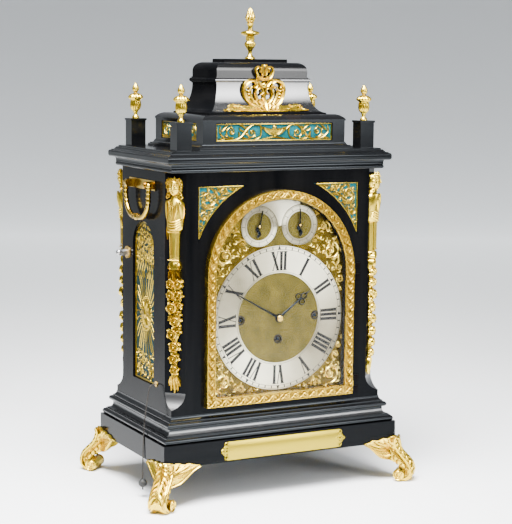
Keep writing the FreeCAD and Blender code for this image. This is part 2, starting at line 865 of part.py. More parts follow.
def frieze_frets():
    """Pierced brass panels in the pockets of the frieze."""
    panels = frieze_panels(fret_gap, fret_thickness, fret_recess - fret_thickness)
    level = (z_frieze + z_cap) / 2
    frets = []
    for number, panel in enumerate(panels):
        box = panel.BoundBox
        long_x = number < 2
        length = (frieze_fret_length if long_x else frieze_side_fret_length) / 2 - fret_margin - fret_hole
        count = int(length / fret_pitch)
        centres = []
        for step in range(-count, count + 1):
            for row in (-1, 1):
                place = step * fret_pitch
                z = level + row * fret_pitch / 2
                centres.append(Vector(place, box.YMin, z) if long_x else Vector(box.XMin, place, z))
        frets.append(pierced(panel, centres, fret_hole, BACK if long_x else RIGHT))
    return frets


def side_panel(gap, x, thickness):
    """Round-headed panel that fits the window of the right side."""
    half = side_window_width / 2 - gap
    sill = z_body + side_window_sill + gap
    spring = z_body + side_window_spring
    moves = [(half, sill), (half, spring), (0, spring + half, -half, spring)]
    return outline((-half, sill), moves, from_side(x)).extrude(Vector(thickness, 0, 0))


def side_frets():
    x = half_width - side_fret_recess - fret_thickness
    fret = side_panel(fret_gap, x, fret_thickness)
    sill = z_body + side_window_sill + fret_margin + fret_pitch
    rows = int((side_window_spring - side_window_sill) / fret_pitch)
    columns = int((side_window_width / 2 - fret_margin - fret_hole) / fret_pitch)
    centres = [Vector(x, column * fret_pitch, sill + row * fret_pitch)
               for row in range(rows) for column in range(-columns, columns + 1)]
    fret = pierced(fret, centres, fret_hole, RIGHT)
    return [fret, mirrored(fret)]


def spandrel_frets():
    y = y_face + fret_recess - fret_thickness
    fret = spandrel_face(fret_gap, y).extrude(Vector(0, fret_thickness, 0))
    corner = Vector(spandrel_outer - 2 * fret_pitch, y, spandrel_top - 2 * fret_pitch)
    centres = [corner + Vector(-step * fret_pitch, 0, 0) for step in range(4)]
    centres += [corner + Vector(0, 0, -step * fret_pitch) for step in range(1, 4)]
    fret = pierced(fret, centres, spandrel_fret_hole, BACK)
    return [fret, mirrored(fret)]


def fret_silks():
    """Silk panels that back every fret."""
    silks = frieze_panels(fret_gap, silk_thickness, fret_recess)
    side_x = half_width - side_fret_recess - fret_thickness - silk_thickness
    side = side_panel(fret_gap, side_x, silk_thickness)
    corner = spandrel_face(fret_gap, y_face + fret_recess).extrude(Vector(0, silk_thickness, 0))
    return silks + [side, mirrored(side), corner, mirrored(corner)]


def corner_figures():
    """Half-round term figure on each cant: flower drop, collar, shaft, draped bust and head."""
    bottom = z_body + figure_rise
    drop = figure_height * drop_share
    cluster = drop / drop_clusters
    moves = [(0, bottom)]
    for number in range(drop_clusters):
        size = figure_radius * (cluster_first_share + cluster_growth_share * (number + 1) / drop_clusters)
        neck = size * cluster_neck_share
        low = bottom + number * cluster
        moves.append((neck, low))
        moves.append((size, low + cluster / 2, neck, low + cluster))
    figure_shares = ((0.62, 0.58), (0.64, 0.61), (0.54, 0.615), (0.56, 0.755), (0.76, 0.765), (0.8, 0.81),
                     (0.74, 0.825), (1.0, 0.865), (0.94, 0.89), (0.5, 0.905), (0.44, 0.915),
                     (0.9, 0.96, 0.3, 0.996), (0.0, 1.0))
    moves += scaled(figure_shares, figure_radius, figure_height, bottom)
    figure = turned(moves, 0, 0)
    back = block(-figure_radius - overrun, 0, -figure_radius - overrun, figure_radius + overrun,
                 bottom - overrun, bottom + figure_height + overrun)
    figure = figure.cut(back)
    figure.rotate(ORIGIN, UP, 45)
    return four_corners(figure, half_width - cant / 2, half_depth - cant / 2)


def plinth_plaque():
    """Plain plate with shaped ends, pinned to the front of the plinth."""
    y = -half_depth - plinth_projection
    low = z_plinth + plaque_rise
    middle = low + plaque_height / 2
    body = plaque_body_length / 2
    end = plaque_length / 2
    lobe = plaque_height / 4
    high = low + plaque_height
    moves = [(body, low), (body, low + lobe / 2), (end, middle, body, high - lobe / 2), (body, high),
             (-body, high), (-body, high - lobe / 2), (-end, middle, -body, low + lobe / 2)]
    plate = outline((-body, low), moves, in_front(y - plaque_thickness))
    plate = plate.extrude(Vector(0, plaque_thickness, 0))
    pieces = [plate]
    for side in (-1, 1):
        head = Vector(side * (body + end) / 2, y - plaque_thickness - plaque_pin_head, middle)
        pieces.append(rod(plaque_pin_radius, head, head + BACK * plaque_pin_head))
    return [joined(pieces)]


def handle_lugs():
    """Back plate with two bored lugs on each side of the case."""
    plate = block(half_width, half_width + lug_plate, -lug_plate_length / 2, lug_plate_length / 2,
                  handle_level - lug_plate_height / 2, handle_level + lug_plate_height / 2)
    pieces = [plate]
    bores = []
    for side in (-1, 1):
        y = side * lug_half_span - lug_width / 2
        arm = block(half_width, handle_x, y, y + lug_width, handle_level - lug_radius,
                    handle_level + lug_radius)
        axis = Vector(handle_x, y, handle_level)
        pieces += [arm, rod(lug_radius, axis, axis + BACK * lug_width)]
        start = axis - BACK * overrun
        end = axis + BACK * (lug_width + overrun)
        bores.append(rod(trunnion_radius + running_clearance, start, end))
    lugs = joined(pieces).cut(bores)
    return [lugs, mirrored(lugs)]


def bail(side):
    """Bail handle: an eye and trunnion at each end of a rounded loop, hanging from its lugs."""
    low = handle_level - handle_drop
    bend_y = handle_half_width - handle_bend
    bend_z = low + handle_bend
    place = from_side(handle_x)
    turn = handle_bend * math.sqrt(0.5)
    left_mid = place(-bend_y - turn, bend_z - turn)
    right_mid = place(bend_y + turn, bend_z - turn)
    half = handle_half_width
    edges = [Part.LineSegment(place(-half, handle_level), place(-half, bend_z)).toShape(),
             Part.Arc(place(-half, bend_z), left_mid, place(-bend_y, low)).toShape(),
             Part.LineSegment(place(-bend_y, low), place(bend_y, low)).toShape(),
             Part.Arc(place(bend_y, low), right_mid, place(half, bend_z)).toShape(),
             Part.LineSegment(place(half, bend_z), place(half, handle_level)).toShape()]
    ring = Part.Wire(Part.makeCircle(handle_rod, place(-half, handle_level), UP))
    pieces = [Part.Wire(edges).makePipeShell([ring], True, False)]
    for end in (-1, 1):
        eye = place(end * handle_half_width, handle_level)
        tip = place(end * (lug_half_span - lug_width / 2), handle_level)
        pieces += [Part.makeSphere(handle_eye, eye), rod(trunnion_radius, tip, eye)]
    loop = joined(pieces)
    return [loop if side > 0 else mirrored(loop)]


# Doors and hinges

def arched_frame(section_start, section_moves):
    """Frame round the arched sight, mitred at the sill; a point is a distance outside the sight and a Y."""
    low = sill_level + bezel_band
    reach = bezel_half_width
    side = outline(section_start, section_moves, lambda out, y: Vector(sight_half + out, y, arch_spring))
    head = side.revolve(Vector(0, 0, arch_spring), Vector(0, -1, 0), 180)
    jamb = side.extrude(Vector(0, 0, sill_level - arch_spring))
    corner = (sight_half + bezel_band, sill_level)
    wide = bezel_depth + bezel_band
    near = sight_half - wide
    far = sight_half + wide
    front = in_front(-2 * reach)
    moves = [(far, low - wide), (far, arch_spring), (near, arch_spring)]
    jamb_wedge = outline((near, low + wide), moves, front)
    jamb = jamb.common(jamb_wedge.extrude(Vector(0, 2 * reach, 0)))
    rail = outline(section_start, section_moves, lambda out, y: Vector(-corner[0], y, low - out))
    rail = rail.extrude(Vector(2 * corner[0], 0, 0))
    moves = [(far, low - wide), (near, low + wide), (-near, low + wide)]
    rail_wedge = outline((-far, low - wide), moves, front)
    rail = rail.common(rail_wedge.extrude(Vector(0, 2 * reach, 0)))
    return joined([head, jamb, mirrored(jamb), rail])


def knuckle(radius, x, y, low, height):
    base = Vector(x, y, low)
    return rod(radius, base, base + UP * height)


bezel_hinge_x = bezel_half_width + bezel_hinge_offset
bezel_hinge_y = y_face - knuckle_radius - 2 * door_gap
bezel_hinge_levels = (z_body + bezel_hinge_low, z_body + bezel_hinge_high)
back_door_half = post_x - back_stile - door_gap
back_hinge_x = back_door_half
back_hinge_y = half_depth + knuckle_radius + door_gap
back_hinge_levels = (z_body + back_hinge_low, z_body + back_hinge_high)


def bezel_frame():
    """Cast gilt bezel with a rounded face, a lip over the glass and two hinge knuckles on its right edge."""
    back = y_face - door_gap
    front = back - bezel_depth
    crown = bezel_crown_band
    edge = back - bezel_edge_depth
    bulge = ((bezel_band + crown) / 2 + (edge - front) * bezel_bulge_share,
             (edge + front) / 2 - (bezel_band - crown) * bezel_bulge_share)
    start = (bezel_lip, back)
    seat = front + bezel_lip_depth
    moves = [(bezel_band, back), (bezel_band, edge), bulge + (crown, front), (bezel_lip / 2, front),
             (0, front + bezel_lip_depth / 2), (0, seat), (bezel_lip, seat)]
    pieces = [arched_frame(start, moves)]
    bores = []
    for level in bezel_hinge_levels:
        pieces.append(knuckle(knuckle_radius, bezel_hinge_x, bezel_hinge_y, level, knuckle_length))
        pieces.append(block(bezel_half_width - bezel_lip, bezel_hinge_x, bezel_hinge_y - knuckle_radius,
                            bezel_hinge_y, level, level + knuckle_length))
        bores.append(knuckle(hinge_pin_radius + pin_clearance, bezel_hinge_x, bezel_hinge_y, level - overrun,
                             knuckle_length + 2 * overrun))
    return [joined(pieces).cut(bores)]


def bezel_glass():
    front = y_face - door_gap - bezel_depth + bezel_lip_depth
    face = arch_face(sight_half + bezel_lip - fret_gap, sill_level + bezel_band - bezel_lip + fret_gap, front)
    return [face.extrude(Vector(0, bezel_glass_thickness, 0))]


def back_door_frame():
    """Two stiles and two rails, with the door halves of the hinges on one stile."""
    half = back_door_half
    low = z_body + back_rail + door_gap
    high = z_cornice - back_rail - door_gap
    y0 = half_depth - back_thickness
    sill = block(-half, half, y0, half_depth, low, low + back_door_rail)
    head = block(-half, half, y0, half_depth, high - back_door_rail, high)
    free_stile = block(-half, back_door_rail - half, y0, half_depth, low + back_door_rail,
                       high - back_door_rail)
    hinge_stile = mirrored(free_stile)
    pieces = [hinge_stile]
    bores = []
    for level in back_hinge_levels:
        pieces.append(knuckle(knuckle_radius, back_hinge_x, back_hinge_y, level, knuckle_length))
        pieces.append(block(back_hinge_x - hinge_leaf_width, back_hinge_x, half_depth,
                            half_depth + hinge_leaf, level, level + knuckle_length))
        pieces.append(block(back_hinge_x - knuckle_radius, back_hinge_x, half_depth, back_hinge_y,
                            level, level + knuckle_length))
        bores.append(knuckle(hinge_pin_radius + pin_clearance, back_hinge_x, back_hinge_y, level - overrun,
                             knuckle_length + 2 * overrun))
    return [sill, head, free_stile, joined(pieces).cut(bores)]


def back_door_glass():
    half = back_door_half - back_door_rail
    low = z_body + back_rail + door_gap + back_door_rail
    high = z_cornice - back_rail - door_gap - back_door_rail
    y0 = half_depth - (back_thickness + back_glass_thickness) / 2
    return [block(-half, half, y0, y0 + back_glass_thickness, low, high)]


def fixed_hinge(x, y, face, level, outward):
    """Case half of a hinge: two knuckles on a pin, joined to a leaf on the face of the case."""
    low = level - knuckle_gap - knuckle_length
    high = level + knuckle_length + knuckle_gap
    leaf_y = (face, face + outward * hinge_leaf)
    pieces = [knuckle(hinge_pin_radius, x, y, low, high + knuckle_length - low)]
    for bottom in (low, high):
        pieces.append(knuckle(knuckle_radius, x, y, bottom, knuckle_length))
        top = bottom + knuckle_length
        pieces.append(block(x, x + knuckle_radius, min(face, y), max(face, y), bottom, top))
        pieces.append(block(x, x + hinge_leaf_width, min(leaf_y), max(leaf_y), bottom, top))
    return joined(pieces)


def case_hardware():
    """Fixed brass fittings: hinge halves with their pins, cord bush and the rose of the side knob."""
    pieces = [fixed_hinge(bezel_hinge_x, bezel_hinge_y, y_face, level, -1) for level in bezel_hinge_levels]
    pieces += [fixed_hinge(back_hinge_x, back_hinge_y, half_depth, level, 1) for level in back_hinge_levels]
    mouth = Vector(-half_width, -cord_front, z_body + cord_rise)
    bush = joined([rod(bush_radius, mouth, mouth + RIGHT * side_thickness),
                   rod(bush_flange_radius, mouth - RIGHT * bush_flange, mouth)])
    centre = Vector(-half_width, knob_back, knob_level)
    rose = rod(knob_rose_radius, centre - RIGHT * knob_rose_thickness, centre)
    bore = rod(knob_spindle + running_clearance, centre - RIGHT * (knob_rose_thickness + overrun),
               centre + RIGHT * overrun)
    return pieces + [bush, rose.cut(bore)]


def side_knob():
    """Turned knob outside the case and a turn button on the same spindle inside it."""
    shank_start = -half_width - knob_rose_thickness - knuckle_gap
    shank_end = shank_start - knob_shank_length
    ball = shank_end - math.sqrt(knob_ball_radius ** 2 - knob_spindle ** 2)
    inside = side_thickness + button_gap + button_thickness - half_width
    tip = (ball - knob_ball_radius, 0)
    neck = (shank_end, knob_spindle)
    moves = [arc_to((ball, 0), tip, neck), (shank_end, knob_shank_radius), (shank_start, knob_shank_radius),
             (shank_start, knob_spindle), (inside, knob_spindle), (inside, 0)]
    turning = outline(tip, moves, lambda x, out: Vector(x, knob_back, knob_level + out))
    turning = turning.revolve(Vector(0, knob_back, knob_level), RIGHT, 360)
    half = button_width / 2
    button = block(inside - button_thickness, inside, knob_back - button_length, knob_back + half,
                   knob_level - half, knob_level + half)
    return [joined([turning, button])]


# Dial and hands

def dial_plate():
    """Arched plate with winding holes, standing on four feet in front of the movement."""
    plate = arch_face(dial_half, dial_bottom, y_dial).extrude(Vector(0, dial_thickness, 0))
    holes = [(0, dial_centre, dial_pipe_hole)]
    holes += [(x, z, winding_hole) for x, z in winder_places.values()]
    arbor_hole = sub_hand_arbor + running_clearance
    holes += [(side * sub_dial_spread, sub_dial_level, arbor_hole) for side in (-1, 1)]
    plate = plate.cut([axis_hole(radius, x, z, y_dial, dial_thickness) for x, z, radius in holes])
    pieces = [plate]
    for x_share, z_share in pillar_place_shares[:4]:
        foot = Vector(x_share * plate_width / 2, y_dial_back, seat_top + z_share * plate_height)
        pieces.append(rod(dial_foot_radius, foot, foot + BACK * motion_space))
    return [joined(pieces)]


def ring(outer, inner, x, z, thickness):
    centre = Vector(x, y_dial - thickness, z)
    through = centre - BACK * overrun
    return rod(outer, centre, centre + BACK * thickness).cut(
        rod(inner, through, through + BACK * (thickness + 2 * overrun)))


def chapter_ring():
    band = ring(chapter_outer, chapter_inner, 0, dial_centre, ring_thickness)
    start = y_dial - ring_thickness - overrun
    holes = []
    for x, z in winder_places.values():
        mouth = Vector(x, start, z)
        holes.append(rod(winding_hole, mouth, mouth + BACK * (ring_thickness + 2 * overrun)))
    return [band.cut(holes)]


def arch_silvering():
    """Two subsidiary rings and the bare plaque between them."""
    pieces = [ring(sub_dial_outer, sub_dial_inner, side * sub_dial_spread, sub_dial_level, ring_thickness)
              for side in (-1, 1)]
    y = y_dial - arch_plaque_thickness
    radius = dial_half - arch_plaque_margin
    thickness = arch_plaque_thickness
    slab = block(-sub_dial_spread, sub_dial_spread, y, y_dial, sub_dial_level, arch_spring + radius)
    middle = Vector(0, y, arch_spring)
    slab = slab.common(rod(radius, middle, middle + BACK * thickness))
    cutters = []
    for side in (-1, 1):
        centre = Vector(side * sub_dial_spread, y - overrun, sub_dial_level)
        cutters.append(rod(sub_dial_outer + plaque_gap, centre, centre + BACK * (thickness + 2 * overrun)))
    return pieces + [slab.cut(cutters)]


def dial_spandrels():
    """Gilt mounts in the two lower corners and in the two sides of the arch."""
    y = y_dial - spandrel_mount_thickness
    margin = spandrel_mount_margin
    slab = arch_face(dial_half - margin, dial_bottom + margin, y)
    slab = slab.extrude(Vector(0, spandrel_mount_thickness, 0))
    through = BACK * (spandrel_mount_thickness + 2 * overrun)
    cutters = []
    for x, z, radius in ((0, dial_centre, chapter_outer), (-sub_dial_spread, sub_dial_level, sub_dial_outer),
                         (sub_dial_spread, sub_dial_level, sub_dial_outer)):
        centre = Vector(x, y - overrun, z)
        cutters.append(rod(radius + margin, centre, centre + through))
    wide = dial_half + overrun
    cutters.append(block(-wide, wide, y - overrun, y_dial + overrun, dial_centre - spandrel_mount_waist,
                         dial_centre + spandrel_mount_waist))
    middle = sub_dial_spread
    cutters.append(block(-middle, middle, y - overrun, y_dial + overrun, dial_bottom - overrun,
                         arch_spring + dial_half))
    return slab.cut(cutters).Solids


def hand_blade(length, stem, leaf, leaf_share, y):
    """Flat hand pointing up from the dial centre: a stem that swells to a leaf near the tip."""
    swell = dial_centre + length * leaf_share
    half = stem / 2
    moves = [(half, swell - leaf), (leaf / 2, swell), (0, dial_centre + length), (-leaf / 2, swell),
             (-half, swell - leaf), (-half, dial_centre)]
    face = outline((half, dial_centre), moves, in_front(y))
    return face.extrude(Vector(0, hand_thickness, 0))


def hour_hand():
    y0 = y_hour_hand - hand_thickness
    axis = Vector(0, y0, dial_centre)
    blade = hand_blade(hour_hand_length, hour_hand_stem, hour_hand_leaf, hour_leaf_share, y0)
    boss = rod(hour_boss, axis, axis + BACK * hand_thickness)
    bore = rod(hour_pipe_radius + hand_fit, axis - BACK * overrun, axis + BACK * (hand_thickness + overrun))
    hand = joined([blade, boss]).cut(bore)
    hand.rotate(axis, BACK, hour_hand_angle)
    return [hand]


def minute_hand():
    """Long hand with a domed boss over the end of the centre arbor."""
    y0 = y_minute_hand - hand_thickness
    axis = Vector(0, y0, dial_centre)
    blade = hand_blade(minute_hand_length, minute_hand_stem, minute_hand_leaf, minute_leaf_share, y0)
    boss = rod(minute_boss, axis - BACK * (2 * hand_thickness), axis + BACK * hand_thickness)
    bore = rod(cannon_pipe_radius + hand_fit, axis - BACK * hand_thickness,
               axis + BACK * (hand_thickness + overrun))
    hand = joined([blade, boss]).cut(bore)
    hand.rotate(axis, BACK, minute_hand_angle)
    return [hand]


def sub_hand(side, angle):
    """Pointer with a counterpoise tail, on an arbor through the dial plate."""
    x = side * sub_dial_spread
    y0 = y_ring - sub_hand_gap - hand_thickness
    level = sub_dial_level
    stem = sub_hand_stem / 2
    tail = sub_hand_tail_width / 2
    swell = level - sub_hand_tail * sub_hand_swell_share
    moves = [(x, level + sub_hand_length), (x - stem, level), (x - tail, swell), (x, level - sub_hand_tail),
             (x + tail, swell)]
    pointer = outline((x + stem, level), moves, in_front(y0)).extrude(Vector(0, hand_thickness, 0))
    axis = Vector(x, y0, level)
    boss = rod(sub_hand_boss, axis - BACK * hand_thickness, axis + BACK * hand_thickness)
    end = y_dial_back + sub_hand_collar_gap
    arbor = rod(sub_hand_arbor, axis, Vector(x, end + sub_hand_collar_thickness, level))
    collar = rod(sub_hand_collar, Vector(x, end, level), Vector(x, end + sub_hand_collar_thickness, level))
    hand = joined([pointer, boss, arbor, collar])
    hand.rotate(axis, BACK, angle)
    return [hand]


# Movement

def axis_hole(radius, x, z, y0, length):
    start = Vector(x, y0 - overrun, z)
    return rod(radius, start, start + BACK * (length + 2 * overrun))


def movement_plates():
    """Front and back plates with pivot holes, the minute wheel stud and the back cock."""
    half = plate_width / 2
    top = seat_top + plate_height
    front = block(-half, half, y_front_plate, y_between, seat_top, top)
    back = block(-half, half, y_back_plate, y_behind, seat_top, top)
    front_holes = [axis_hole(winder_radius + running_clearance, x, z, y_front_plate, plate_thickness)
                   for x, z in winder_places.values()]
    back_holes = [axis_hole(winder_pivot_radius + running_clearance, x, z, y_back_plate, plate_thickness)
                  for x, z in winder_places.values()]
    pivots = ((0, dial_centre, centre_arbor_radius), (0, escape_level, escape_pivot),
              (0, pallet_level, pallet_arbor), (hammer_x, hammer_level, hammer_arbor))
    for x, z, radius in pivots:
        front_holes.append(axis_hole(radius + running_clearance, x, z, y_front_plate, plate_thickness))
        back_holes.append(axis_hole(radius + running_clearance, x, z, y_back_plate, plate_thickness))
    stud = Vector(0, y_front_plate, dial_centre + motion_centres)
    stud_end = y_hour_wheel - running_clearance
    front = joined([front.cut(front_holes), rod(minute_stud_radius, Vector(0, stud_end, stud.z), stud)])
    low = pallet_level + cock_rise
    cheek_y = y_behind + cock_reach - cock_cheek
    arm = block(-cock_width / 2, cock_width / 2, y_behind, y_behind + cock_reach, low, low + cock_height)
    cheek = block(-pendulum_eye, pendulum_eye, cheek_y, y_behind + cock_reach, pallet_level - pendulum_eye,
                  low)
    pin_end = Vector(0, cheek_y - pendulum_eye_length - cock_cheek / 2, pallet_level)
    pin = rod(suspension_pin, pin_end, Vector(0, cheek_y, pallet_level))
    return [front, joined([back.cut(back_holes), arm, cheek, pin])]


def movement_pillars():
    pillars = []
    for x_share, z_share in pillar_place_shares:
        end = Vector(x_share * plate_width / 2, y_between, seat_top + z_share * plate_height)
        pillars.append(rod(pillar_radius, end, end + BACK * plate_distance))
    return pillars


def seat_board():
    """Board that carries the movement, on a bearer fixed to each side of the case."""
    front = y_inner + seat_clearance
    rear = y_behind + seat_back_edge
    half = post_x - seat_clearance
    low = seat_top - seat_thickness
    board = block(-half, half, front, rear, low, seat_top)
    bearer = block(x_inner - bearer_width, x_inner, -post_y, rear, low - bearer_height, low)
    return [board, bearer, mirrored(bearer)]


def motion_tooth(teeth, module, thickness, y, x, z, phase):
    middle = Vector(x, y, z)
    return toothed_wheel(teeth, teeth * module / 2, addendum_share * module, dedendum_share * module,
                         tooth_tip_share, tooth_root_share, middle, thickness, phase)


def cannon_pinion():
    """Cannon wheel and pipe that turn on the centre arbor and carry the minute hand."""
    wheel = motion_tooth(cannon_teeth, cannon_module, motion_wheel_thickness, y_cannon_wheel, 0, dial_centre,
                         math.pi / 2)
    end = Vector(0, y_minute_hand - hand_thickness - hand_thickness / 2, dial_centre)
    start = Vector(0, y_front_plate - cannon_wheel_standoff / 2, dial_centre)
    pipe = rod(cannon_pipe_radius, end, start)
    bore = rod(centre_arbor_radius + running_clearance, end - BACK * overrun, start + BACK * overrun)
    return [joined([wheel, pipe]).cut(bore)]


def minute_wheel():
    """Minute wheel with its pinion in front, on the stud of the front plate."""
    level = dial_centre + motion_centres
    gap_phase = -math.pi / 2 + math.pi / minute_wheel_teeth
    wheel = motion_tooth(minute_wheel_teeth, cannon_module, motion_wheel_thickness, y_cannon_wheel, 0, level,
                         gap_phase)
    length = y_cannon_wheel + motion_wheel_thickness - y_hour_wheel
    pinion = motion_tooth(minute_pinion_teeth, pinion_module, length, y_hour_wheel, 0, level, -math.pi / 2)
    bore = axis_hole(minute_stud_radius + running_clearance, 0, level, y_hour_wheel, length)
    return [joined([wheel, pinion]).cut(bore)]


def hour_wheel():
    """Hour wheel and pipe that turn on the cannon pipe and carry the hour hand."""
    gap_phase = math.pi / 2 + math.pi / hour_wheel_teeth
    wheel = motion_tooth(hour_wheel_teeth, pinion_module, motion_wheel_thickness, y_hour_wheel, 0,
                         dial_centre, gap_phase)
    start = Vector(0, y_hour_wheel + motion_wheel_thickness, dial_centre)
    end = Vector(0, y_hour_hand - hand_thickness, dial_centre)
    pipe = rod(hour_pipe_radius, end, start)
    bore = rod(cannon_pipe_radius + running_clearance, end - BACK * overrun, start + BACK * overrun)
    return [joined([wheel, pipe]).cut(bore)]


def train_wheel(x, z, radius, y):
    return toothed_wheel(train_wheel_teeth, radius - train_tooth, train_tooth, 0, tooth_tip_share,
                         tooth_root_share, Vector(x, y, z), wheel_thickness, 0)


def train_wheels():
    """Centre arbor and wheel, third wheel, and two wheels in each of the strike and chime trains."""
    y_centre = y_back_plate - centre_wheel_back
    y_third = y_back_plate - third_wheel_back
    arbor_end = Vector(0, y_minute_hand - hand_thickness - hand_thickness / 2, dial_centre)
    centre = joined([rod(centre_arbor_radius, arbor_end, Vector(0, y_behind, dial_centre)),
                     train_wheel(0, dial_centre, centre_wheel_radius, y_centre)])
    wheels = [centre]
    places = [(-third_across, dial_centre + third_rise, third_wheel_radius, y_third)]
    for side in (-1, 1):
        for (x_share, z_share), radius, y in zip(side_wheel_shares, (side_wheel_radius, side_wheel_small),
                                                 (y_centre, y_third)):
            places.append((side * x_share * plate_width / 2, seat_top + z_share * plate_height, radius, y))
    for x, z, radius, y in places:
        arbor = rod(wheel_arbor, Vector(x, y_between, z), Vector(x, y_back_plate, z))
        wheels.append(joined([arbor, train_wheel(x, z, radius, y)]))
    return wheels


def spring_barrels():
    """Three going barrels, open at the back, each with its great wheel."""
    y0 = y_between + barrel_standoff
    barrels = []
    for x, z in winder_places.values():
        axis = Vector(x, y0, z)
        drum = rod(barrel_radius, axis, axis + BACK * barrel_length)
        wheel = toothed_wheel(great_wheel_teeth, great_wheel_radius - train_tooth, train_tooth, 0,
                              tooth_tip_share, tooth_root_share, axis, great_wheel_thickness, 0)
        inside = axis + BACK * (barrel_wall + great_wheel_thickness)
        cavity = rod(barrel_radius - barrel_wall, inside, axis + BACK * (barrel_length + overrun))
        bore = axis_hole(winder_radius + running_clearance, x, z, y0, barrel_length)
        barrels.append(joined([drum, wheel]).cut([cavity, bore]))
    return barrels


def winder(name):
    """Winding arbor: pivot in the back plate, barrel arbor, and a square behind the dial for the key."""
    x, z = winder_places[name]
    half = winder_square / 2
    square_start = y_dial + winder_end_inset
    square = block(x - half, x + half, square_start, square_start + winder_square_length, z - half, z + half)
    arbor = rod(winder_radius, Vector(x, square_start + winder_square_length, z),
                Vector(x, y_back_plate - running_clearance, z))
    pivot = rod(winder_pivot_radius, Vector(x, y_back_plate - overrun, z), Vector(x, y_behind, z))
    return [joined([square, arbor, pivot])]


def escape_wheel():
    """Pointed escape wheel and its pinion on an arbor between the plates."""
    y0 = y_back_plate - escape_back
    quarter = math.pi / (2 * escape_teeth)
    phase = math.pi / 2 - math.radians(pallet_span_angle) + quarter
    wheel = toothed_wheel(escape_teeth, escape_radius, 0, escape_tooth_depth, escape_tip_share,
                          escape_root_share, Vector(0, y0, escape_level), wheel_thickness, phase)
    arbor = rod(escape_pivot, Vector(0, y_front_plate, escape_level), Vector(0, y_behind, escape_level))
    pinion = rod(escape_pinion, Vector(0, y_back_plate - third_wheel_back - wheel_thickness, escape_level),
                 Vector(0, y0, escape_level))
    return [joined([wheel, arbor, pinion])]


def pallets():
    """Anchor over the escape wheel, its arbor, and the crutch with a fork round the pendulum rod."""
    y0 = y_back_plate - escape_back
    span = math.radians(pallet_span_angle)
    pieces = [rod(pallet_arbor, Vector(0, y_front_plate, pallet_level),
                  Vector(0, y_behind + crutch_gap + crutch_thickness, pallet_level))]
    for side in (-1, 1):
        out = Vector(side * math.sin(span), 0, math.cos(span))
        along = Vector(math.cos(span), 0, -side * math.sin(span))
        tip = Vector(0, y0, escape_level) + out * (escape_radius + pallet_clearance)
        half = along * (pallet_width / 2)
        outer = tip + out * pallet_length
        nib = Part.makePolygon([tip - half, tip + half, outer + half, outer - half, tip - half])
        arm_half = Vector(0, 0, pallet_arm / 2)
        root = Vector(0, y0, pallet_level)
        lower = outer + half * side
        upper = outer - half * side
        arm = Part.makePolygon([root - arm_half, lower, upper, root + arm_half, root - arm_half])
        for wire in (nib, arm):
            pieces.append(Part.Face(wire).extrude(Vector(0, wheel_thickness, 0)))
    y1 = y_behind + crutch_gap
    low = pallet_level - crutch_drop
    pieces.append(block(-crutch_width / 2, crutch_width / 2, y1, y1 + crutch_thickness, low, pallet_level))
    inner = pendulum_rod + fork_gap
    rod_y = pendulum_y + pendulum_eye_length / 2
    outer = inner + fork_arm
    high = low + fork_arm
    pieces.append(block(-outer, outer, y1, y1 + crutch_thickness, low - fork_arm, high))
    for side in (-1, 1):
        x0 = min(side * inner, side * outer)
        pieces.append(block(x0, x0 + fork_arm, y1, rod_y + pendulum_rod, low - fork_arm, high))
    return [joined(pieces)]


def pendulum():
    """Eye on the suspension pin, rod, lens-shaped bob and rating nut."""
    axis = Vector(0, pendulum_y, pallet_level)
    rod_y = pendulum_y + pendulum_eye_length / 2
    bob_level = pallet_level - pendulum_length
    low = bob_level - bob_radius - rating_nut_height
    eye = rod(pendulum_eye, axis, axis + BACK * pendulum_eye_length)
    stem = rod(pendulum_rod, Vector(0, rod_y, low), Vector(0, rod_y, pallet_level - pendulum_eye / 2))
    half = bob_thickness / 2
    edge = bob_edge / 2
    bulge = half * bob_bulge_share
    moves = [(bob_radius / 2, rod_y - bulge, bob_radius, rod_y - edge), (bob_radius, rod_y + edge),
             (bob_radius / 2, rod_y + bulge, 0, rod_y + half)]
    face = outline((0, rod_y - half), moves, lambda radius, y: Vector(radius, y, bob_level))
    bob = face.revolve(Vector(0, 0, bob_level), BACK, 360)
    nut = rod(rating_nut_radius, Vector(0, rod_y, low), Vector(0, rod_y, low + rating_nut_height))
    bore = axis_hole(suspension_pin + running_clearance, 0, pallet_level, pendulum_y, pendulum_eye_length)
    return [joined([eye, stem, bob, nut]).cut(bore)]


def strike_gong():
    """Flat coil of steel wire whose outer end is held in a stand on the baseboard."""
    edges = []
    radius = gong_inner_radius
    centre_x = 0
    side = 1
    for number in range(gong_half_turns):
        start = Vector(centre_x + side * radius, y_gong, gong_level)
        middle = Vector(centre_x, y_gong, gong_level + side * radius)
        end = Vector(centre_x - side * radius, y_gong, gong_level)
        edges.append(Part.Arc(start, middle, end).toShape())
        radius += gong_pitch / 2
        centre_x += side * gong_pitch / 2
        side = -side
    tail = Vector(-gong_outer_radius, y_gong, gong_level)
    grip = tail - UP * gong_tail
    edges.append(Part.LineSegment(tail, grip).toShape())
    section = Part.Wire(Part.makeCircle(gong_wire, Vector(gong_inner_radius, y_gong, gong_level), UP))
    coil = Part.Wire(edges).makePipeShell([section], True, False)
    print("gong: least gap between turns", round(gong_least_gap(edges) - 2 * gong_wire, 3))
    half_x = gong_stand_width / 2
    half_y = gong_stand_depth / 2
    stand = block(grip.x - half_x, grip.x + half_x, grip.y - half_y, grip.y + half_y,
                  z_plinth + baseboard_thickness, grip.z)
    return [coil, stand]


def gong_least_gap(edges):
    """Least distance between points of the coil that lie more than half a turn apart."""
    samples = []
    for edge in edges[:-1]:
        samples.append([edge.valueAt(edge.FirstParameter + share * (edge.LastParameter - edge.FirstParameter))
                        for share in (0.0, 0.25, 0.5, 0.75, 1.0)])
    least = gong_outer_radius
    for first in range(len(samples)):
        for second in range(first + 2, len(samples)):
            for here in samples[first]:
                least = min(least, min((here - there).Length for there in samples[second]))
    return least


